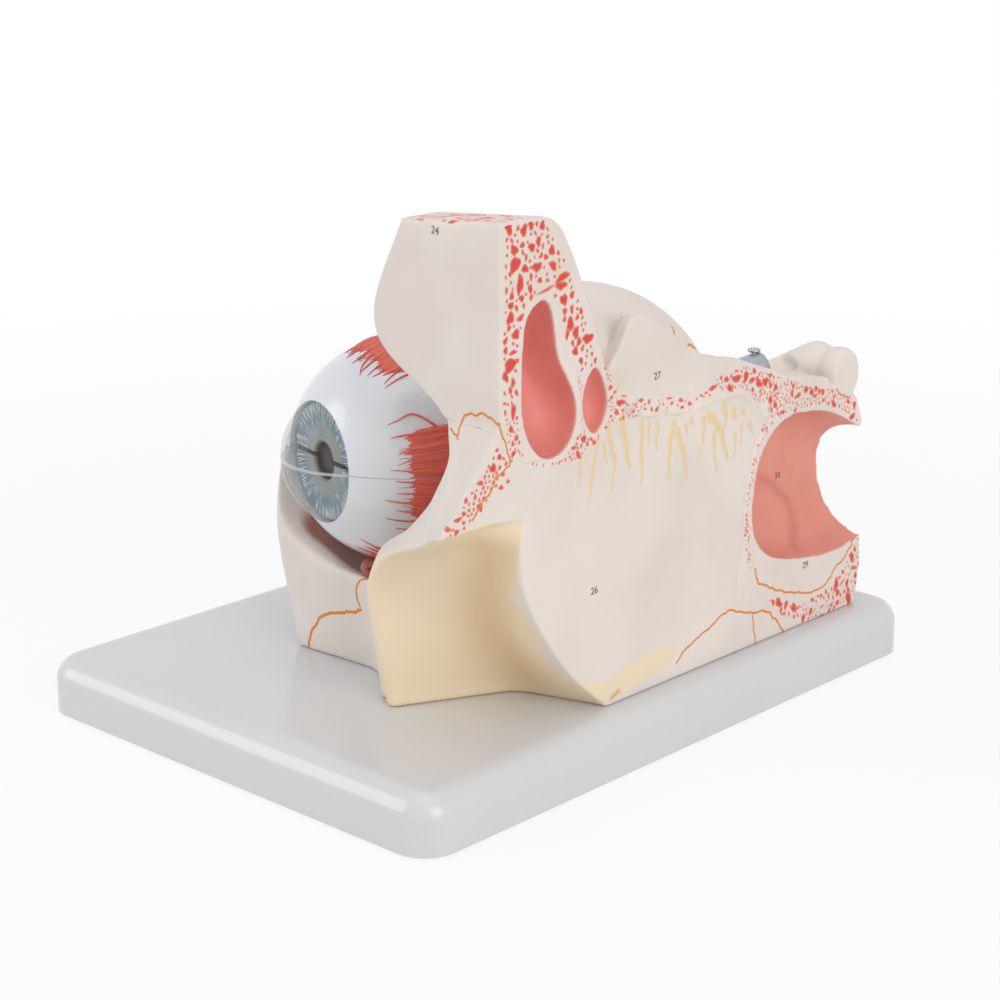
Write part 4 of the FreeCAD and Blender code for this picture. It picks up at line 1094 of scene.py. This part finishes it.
def scleraMaterial():
    shade, here, (x, y, z) = eyeShade("scleraWhite")
    drift, grain = shade.noise(here, 22, 2.0), shade.noise(here, 1.5, 2.0)
    colour = shade.mix(drift, linear(eye["whiteShade"]), linear(eye["white"]))
    seam = shade.step(abs(z), 0.16 * mm, 0.06 * mm)
    radius = (x * x + y * y + z * z).root()
    outside, wall = eye["scleraRadius"], eye["scleraRadius"] - eye["scleraWall"]
    outer = shade.step(radius, (outside - 0.8) * mm, (outside - 0.4) * mm)
    colour = shade.mix(seam * outer, colour, linear(eye["seam"]))
    inner = shade.step(radius, (wall + 0.2) * mm, (wall - 0.2) * mm)
    colour = shade.mix(inner, colour, linear(eye["inside"]))
    return shade.done(shade.plastic({"Base Color": colour, "Roughness": 0.2 + grain * 0.08,
                                     "Coat Weight": 0.35, "Coat Roughness": 0.06,
                                     "Normal": shade.bump(drift, 0.05, 0.4)}))


def mottledMaterial(name):
    light, dark, size, rough, height, coat = eye[name]
    shade, here, _ = eyeShade(name)
    mottle, grain = shade.noise(here, size, 4.0, 0.6), shade.noise(here, size * 0.15, 2.0)
    colour = shade.mix(shade.step(mottle, 0.3, 0.7), linear(dark), linear(light))
    return shade.done(shade.plastic({
        "Base Color": colour, "Roughness": rough + grain * 0.1, "Coat Weight": coat,
        "Normal": shade.bump(mottle + grain * 0.4, height)}))


# light passes straight through and only the surface shines; the rim catches more, and a painted highlight,
# a whiter and glossier band, lies on the joint of the halves, by the band's share
def clearMaterial(name, shine, least, most, band=0.0):
    shade, here, (_, _, z) = eyeShade(name)
    haze = shade.noise(here, 10, 2.0)
    edge = shade.node("ShaderNodeLayerWeight", None, {"Blend": 0.35}, out="Facing")
    clear = shade.node("ShaderNodeBsdfTransparent", None, {"Color": linear(eye["clear"])})
    # painted highlight: a whiter, glossier band along the joint of the halves
    seam = shade.step(abs(z), 0.45 * mm, 0.15 * mm) * band
    colour = shade.mix(seam, linear(shine), linear(eye["seamHighlight"]))
    gloss = shade.plastic({"Base Color": colour, "Roughness": 0.04, "Coat Weight": 1.0,
                           "Coat Roughness": 0.02, "Specular IOR Level": 0.8})
    share = least + haze * 0.02 + edge * edge * most + seam * 0.5
    return shade.done(shade.node("ShaderNodeMixShader", None, {0: share, 1: clear, 2: gloss}))


cornea = {
    "limbusRadius": 21.0,          # where it stands on the sclera, mm
    "radius": 25.0,
    "wall": 1.5,
    "skirt": 1.5,                  # how far it reaches into the sclera
    "arcSteps": 28,
    "shine": ("#C4C6CA", 0.04, 0.5, 1.0),    # as a clear part, and the share of the painted highlight on the joint
    "seamDark": "#B9C6CC",
    "seamLight": "#EEF4F6",
    "seamClear": "#E4EBEE",
}


def seamMaterial():
    shade, here, _ = eyeShade("corneaSeam")
    haze = shade.noise(here, 3, 2.0)
    colour = shade.mix(haze, linear(cornea["seamDark"]), linear(cornea["seamLight"]))
    clear = shade.node("ShaderNodeBsdfTransparent", None, {"Color": linear(cornea["seamClear"])})
    shine = shade.plastic({"Base Color": colour, "Roughness": 0.15, "Coat Weight": 1.0})
    return shade.done(shade.node("ShaderNodeMixShader", None, {0: 0.55 + haze * 0.2, 1: clear, 2: shine}))


# half a turned solid about the gaze: profile in (along the gaze, from the gaze), mm
def halfTurned(name, profile, upper, gap):
    bm = bmesh.new()
    verts = [bm.verts.new((a * mm, b * mm, 0)) for a, b in profile]
    edges = [bm.edges.new((verts[i], verts[(i + 1) % len(verts)])) for i in range(len(verts))]
    sign = 1 if upper else -1
    bmesh.ops.spin(bm, geom=verts + edges, cent=(0, 0, 0), axis=(1, 0, 0), angle=sign * math.pi,
                   steps=eye["turnSteps"])
    bmesh.ops.remove_doubles(bm, verts=bm.verts, dist=0.005 * mm)
    bmesh.ops.bisect_plane(bm, geom=bm.verts[:] + bm.edges[:] + bm.faces[:],
                           plane_co=(0, 0, sign * gap * mm), plane_no=(0, 0, -sign), clear_outer=True)
    rim = [e for e in bm.edges if e.is_boundary]
    filled = bmesh.ops.holes_fill(bm, edges=rim)["faces"]
    bmesh.ops.recalc_face_normals(bm, faces=bm.faces)
    for face in filled:
        face.material_index = 1
        for edge in face.edges:
            edge.smooth = False
    bmesh.ops.transform(bm, matrix=eyeFrame, verts=bm.verts)
    return meshFrom(bm, name)


def arc(centre, radius, start, end, count):
    points = []
    for i in range(count + 1):
        angle = math.radians(start + (end - start) * i / count)
        points.append((centre + radius * math.cos(angle), radius * math.sin(angle)))
    return points


def makeCornea():
    radius, rim, wall = cornea["radius"], cornea["limbusRadius"], cornea["wall"]
    limbus = math.sqrt(eye["scleraRadius"] ** 2 - rim ** 2)
    centre = limbus - math.sqrt(radius ** 2 - rim ** 2)
    edge = math.degrees(math.asin(rim / radius))
    innerEdge = math.degrees(math.asin((rim - wall) / (radius - wall)))
    foot = limbus - cornea["skirt"]
    profile = arc(centre, radius, 0, edge, cornea["arcSteps"]) + [(foot, rim), (foot, rim - wall)]
    profile += arc(centre, radius - wall, innerEdge, 0, cornea["arcSteps"])
    dome, seam = clearMaterial("corneaClear", *cornea["shine"]), seamMaterial()
    for half, body in (("upper", "eye_upper"), ("lower", "eye_lower")):
        piece = linkMesh("corneaDome_" + half, halfTurned("cornea", profile, half == "upper", 0.05))
        paint(piece, dome, seam)
        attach(piece, body)
        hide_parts("cornea_" + half)


iris = {
    "front": 30.96,                # mm from the eye's centre along the gaze
    "thickness": 1.3,
    "radius": 20.4,
    "pupilRadius": 6.5,
    "gaps": {"upper": 1.7, "lower": 0.1},    # from the plane where the halves meet
    "innerDark": "#8A9492",
    "innerLight": "#A9AC98",
    "outerDark": "#5C7181",
    "outerLight": "#8FA3B1",
    "strokes": "#F2F6F8",
    "rim": "#5C6870",
    "pupilRim": "#6B3A38",
}


def irisMaterial():
    shade, here, (_, y, z) = eyeShade("irisStriae")
    turn = y.math("ARCTAN2", z, y)
    out = (y * y + z * z).root() / (iris["radius"] * mm)
    fine = shade.node("ShaderNodeTexNoise", None, {"Vector": shade.join(turn * 26.0, out * 3.0, 0.0),
                                                   "Scale": 1.6, "Detail": 3.0, "Roughness": 0.6})
    dash = shade.node("ShaderNodeTexNoise", None, {"Vector": shade.join(turn * 32.0, out * 2.6, 3.0),
                                                   "Scale": 1.0, "Detail": 1.0})
    wander = (shade.noise(here, 5.0, 2.0) - 0.5) * 0.09
    zone = shade.step(out + wander, 0.57, 0.66)
    innerTone = shade.mix(shade.noise(here, 6.0, 3.0), linear(iris["innerDark"]), linear(iris["innerLight"]))
    outerTone = shade.mix(fine, linear(iris["outerDark"]), linear(iris["outerLight"]))
    strokes = shade.step(dash + (out - 0.88) * 0.35, 0.49, 0.58)
    outerTone = shade.mix(strokes * 0.92, outerTone, linear(iris["strokes"]))
    colour = shade.mix(zone, innerTone, outerTone)
    colour = shade.mix(shade.step(out, 0.96, 1.0) * 0.5, colour, linear(iris["rim"]))
    colour = shade.mix(shade.step(out, 0.37, 0.33) * 0.6, colour, linear(iris["pupilRim"]))
    return shade.done(shade.plastic({"Base Color": colour, "Roughness": 0.35,
                                     "Normal": shade.bump(fine * zone, 0.25, 0.7)}))


def makeIris():
    front, back = iris["front"], iris["front"] - iris["thickness"]
    pupil, outer = iris["pupilRadius"], iris["radius"]
    profile = [(back, pupil), (back + 0.4, pupil - 0.1), (front - 0.35, pupil + 0.1),
               (front - 0.1, pupil + 0.6)]
    profile += [(front - 0.12 - 0.25 * math.sin(math.pi * t), pupil + 0.6 + (outer - pupil - 1.0) * t)
                for t in (0.2, 0.4, 0.6, 0.8, 1.0)]
    profile += [(front - 0.3, outer), (back, outer)]
    striae = irisMaterial()
    edge = mottledMaterial("irisEdge")
    for half, body in (("upper", "inner_eye_upper"), ("lower", "inner_eye_lower")):
        shape = halfTurned("iris", profile, half == "upper", iris["gaps"][half])
        piece = linkMesh("irisDisc_" + half, shape)
        paint(piece, striae, edge)
        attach(piece, body)
        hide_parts("iris_" + half)


sclera = scleraMaterial()
for half in ("upper", "lower"):
    dress("sclera_" + half, sclera)
for finish, names in (("choroidMaroon", ("choroid_upper", "choroid_lower")),
                      ("retinaOrange", ("retina_upper", "retina_lower")),
                      ("ciliaryBrown", ("ciliary_body_upper", "ciliary_body_lower")),
                      ("pinWhite", ("sclera_pins", "choroid_pins")),
                      ("nerveGrey", ("optic_nerve",))):
    material = mottledMaterial(finish)
    for name in names:
        dress(name, material)
dress("lens", clearMaterial("lensClear", *eye["lensClear"]))
dress("vitreous_body", clearMaterial("vitreousClear", *eye["vitreousClear"]))
makeCornea()
makeIris()
print("eyeball and nerve dressed")

# straight muscles: ragged sheets and loose strands on the sclera
# an azimuth counts in degrees from straight up towards the nose, an edge in degrees from the gaze
muscles = {
    "red": "#F07361",
    "redDark": "#D4574A",
    "strand": "#F07E62",
    "strandDark": "#E2583F",
    "thickness": 0.9,              # mm, as the widths
    "strandWidth": 0.42,
    "looseWidth": (0.24, 0.34),
    "loosePitch": 2.4,             # degrees between loose strands, on average
    "rows": 16,                    # of faces from the front edge of a sheet to its back edge
    "sheets": [                    # node, body, azimuths, front edge, back edge, raggedness of the front
        ("superior_rectus", "eye_upper", (-18, 31), 68.5, 114, 4.0),
        ("medial_rectus_upper", "eye_upper", (64.5, 89.7), 65.5, 113, 3.2),
        ("medial_rectus_lower", "eye_lower", (90.3, 114.5), 66.5, 113, 3.2),
        ("lateral_rectus_upper", "eye_upper", (-108, -90.3), 72.5, 113, 2.0),
        ("lateral_rectus_lower", "eye_lower", (-89.7, -72), 72.5, 113, 2.0),
        ("inferior_rectus", "eye_lower", (143, 179), 63.5, 109, 2.5),
    ],
    "strands": {                   # (azimuth, degrees from the gaze) from the sheet to the tip
        "superior_rectus": [[(33, 82), (34, 71), (36, 62)], [(27, 80), (30, 70), (33.5, 62.5)],
                            [(22, 78), (25, 66), (25, 60)], [(17, 77), (20, 66), (22, 58.5)],
                            [(12, 74), (15, 63), (16.5, 57)], [(8, 72), (12, 61), (18.7, 55.5)],
                            [(2, 72), (5, 64), (4, 58)], [(-6, 72), (-5, 64), (-6, 60)]],
        "medial_rectus_upper": [[(65, 80), (56, 70), (57, 62), (57.9, 56.4)], [(70, 74), (66, 64), (66, 56)],
                                [(75, 74), (74, 66), (75, 59)], [(80, 74), (79, 67), (82, 58)],
                                [(85, 74), (86, 66), (84.5, 54)]],
        "medial_rectus_lower": [[(92, 74), (92, 64), (91.5, 56)], [(98, 74), (98.5, 65), (99, 57)],
                                [(104, 74), (104.5, 62), (104.3, 51.6)], [(109, 74), (110, 66), (110, 58)],
                                [(112, 76), (116, 66), (117.3, 53.7)], [(116, 78), (121, 70), (123, 60)]],
        "inferior_rectus": [[(146, 70), (147, 58), (147, 48)], [(150, 70), (152, 60), (153, 53)],
                            [(156, 68), (158, 58), (160, 52)]],
    },
}


def muscleMaterial():
    shade, _, (x, y, z) = eyeShade("muscleRed")
    turn = y.math("ARCTAN2", z, y)
    along = shade.join(turn * 40.0, x * 30.0, (y * y + z * z).root() * 30.0)
    fibre = shade.node("ShaderNodeTexNoise", None,
                       {"Vector": along, "Scale": 1.6, "Detail": 3.0, "Roughness": 0.6})
    colour = shade.mix(shade.step(fibre, 0.3, 0.7), linear(muscles["redDark"]), linear(muscles["red"]))
    colour = shade.mix(shade.step(fibre, 0.62, 0.72) * 0.8, colour, linear(muscles["strand"]))
    return shade.done(shade.plastic({"Base Color": colour, "Roughness": 0.42,
                                     "Normal": shade.bump(fibre, 0.3, 0.8)}))


def strandMaterial():
    shade, here, _ = eyeShade("strandRed")
    tone = shade.noise(here, 3.0, 2.0)
    colour = shade.mix(tone, linear(muscles["strandDark"]), linear(muscles["strand"]))
    return shade.done(shade.plastic({"Base Color": colour, "Roughness": 0.4 + tone * 0.1}))


# a place on the sclera: degrees from the gaze, azimuth, height above the surface
def onEye(polar, azimuth, height):
    theta, turn = math.radians(polar), math.radians(azimuth)
    aside = math.sin(theta)
    radius = (eye["scleraRadius"] + height) * mm
    return Vector((math.cos(theta), aside * math.sin(turn), aside * math.cos(turn))) * radius


def muscleSheet(azimuths, front, back, raggedness, chance):
    low, high = azimuths
    columns = max(24, round((high - low) * 2.6))
    bm = bmesh.new()
    bmesh.ops.create_grid(bm, x_segments=columns, y_segments=muscles["rows"], size=0.5)
    teeth, left = [], 0            # how far each column reaches beyond the front edge
    while len(teeth) <= columns:
        if left <= 0:
            span = chance.randint(2, 6)
            reach = raggedness * chance.uniform(-0.2, 1.5)
            left = span
        centre = 1 - abs(2 * (left - 0.5) / span - 1)
        teeth.append(reach * centre)
        left -= 1
    for v in bm.verts:
        share, along = v.co.x + 0.5, v.co.y + 0.5
        column = min(columns, max(0, round(share * columns)))
        azimuth = low + (high - low) * share
        start = front - teeth[column]
        end = low if share < 0.5 else high
        if abs(abs(end) - 90) > 1:    # an edge away from the joint of the halves is rounded off
            start += 5 * max(0.0, 1 - (0.5 - abs(share - 0.5)) * (high - low) / 4) ** 2
        polar = start + (back - start) * along ** 1.3
        side = min(1.0, (0.5 - abs(share - 0.5)) * 12)
        height = muscles["thickness"] * (0.12 + 0.88 * min(1.0, along * 3)) * (0.25 + 0.75 * side)
        v.co = onEye(polar, azimuth, height + 0.08 * math.sin(column * 2.1) * min(1.0, along * 4))
    bmesh.ops.recalc_face_normals(bm, faces=bm.faces)
    grown = bmesh.ops.extrude_face_region(bm, geom=bm.faces[:], use_keep_orig=True)
    for v in [g for g in grown["geom"] if isinstance(g, bmesh.types.BMVert)]:
        v.co = v.co.normalized() * (eye["scleraRadius"] - 0.15) * mm
    bmesh.ops.recalc_face_normals(bm, faces=bm.faces)
    return bm


# a smooth line through places on the sclera, with its share of the way
def swept(points):
    count = 5 * (len(points) - 1)
    for i in range(count + 1):
        t = i / count * (len(points) - 1)
        k = min(len(points) - 2, int(t))
        f = t - k
        near = [points[max(0, k - 1)], points[k], points[k + 1], points[min(len(points) - 1, k + 2)]]
        azimuth, polar = [0.5 * (2 * b + (c - a) * f + (2 * a - 5 * b + 4 * c - d) * f * f
                                 + (3 * b - a - 3 * c + d) * f ** 3) for a, b, c, d in zip(*near)]
        yield polar, azimuth, i / count


# thin raised threads that taper to their tips
def strandMesh(lines):
    curve = bpy.data.curves.new("strands", "CURVE")
    curve.dimensions, curve.bevel_depth, curve.bevel_resolution = "3D", mm, 1
    curve.use_fill_caps = True
    for width, points in lines:
        places = list(swept(points))
        spline = curve.splines.new("POLY")
        spline.points.add(len(places) - 1)
        for point, (polar, azimuth, share) in zip(spline.points, places):
            point.radius = width * (1 - 0.8 * share ** 1.5)
            point.co = (*onEye(polar, azimuth, point.radius * 0.6), 1)
    return meshOfCurve("strands", curve)


def makeMuscles():
    chance = random.Random(31)
    sheetFinish, strandFinish = muscleMaterial(), strandMaterial()
    for name, body, azimuths, front, back, raggedness in muscles["sheets"]:
        bm = muscleSheet(azimuths, front, back, raggedness, chance)
        count = len(bm.faces)
        lines = [(muscles["strandWidth"], points) for points in muscles["strands"].get(name, [])]
        low, high = azimuths
        for _ in range(int((high - low) / muscles["loosePitch"])):
            turn = chance.uniform(low + 1, high - 1)
            reach = chance.uniform(1.5, 9.0) * chance.uniform(0.5, 1)
            lines.append((chance.uniform(*muscles["looseWidth"]),
                          [(turn, front + 14), (turn + chance.uniform(-0.6, 0.6), front + 4),
                           (turn + chance.uniform(-1.6, 1.6), front - reach)]))
        bm.from_mesh(strandMesh(lines))
        bmesh.ops.recalc_face_normals(bm, faces=bm.faces)
        bm.faces.ensure_lookup_table()
        for face in bm.faces[count:]:
            face.material_index = 1
        bmesh.ops.transform(bm, matrix=eyeFrame, verts=bm.verts)
        piece = linkMesh(name + "Fibres", meshFrom(bm, name))
        paint(piece, sheetFinish, strandFinish)
        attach(piece, body)
        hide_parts(name)


# oblique muscle: a short round strap that comes out from under the eyeball and turns to the nose
oblique = {
    "line": [(2.0, -50.0, 55.6), (-0.6, -55.5, 56.9), (-4.2, -57.9, 57.6), (-4.2, -58.4, 55.0),
             (0.4, -57.6, 52.6), (1.4, -52.0, 51.8)],
    "radius": 1.9,
}


def makeOblique():
    curve = bpy.data.curves.new("oblique", "CURVE")
    curve.dimensions, curve.bevel_depth, curve.bevel_resolution = "3D", oblique["radius"] * mm, 4
    curve.use_fill_caps, curve.resolution_u = True, 8
    spline = curve.splines.new("NURBS")
    spline.points.add(len(oblique["line"]) - 1)
    for point, place in zip(spline.points, oblique["line"]):
        point.co = (*(Vector(place) * mm), 1)
    spline.use_endpoint_u, spline.order_u = True, 3
    piece = linkMesh("obliqueStrap", meshOfCurve("oblique", curve))
    paint(piece, mottledMaterial("obliqueRed"))
    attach(piece, "orbit")
    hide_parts("inferior_oblique")


makeMuscles()
makeOblique()
print("muscles made")
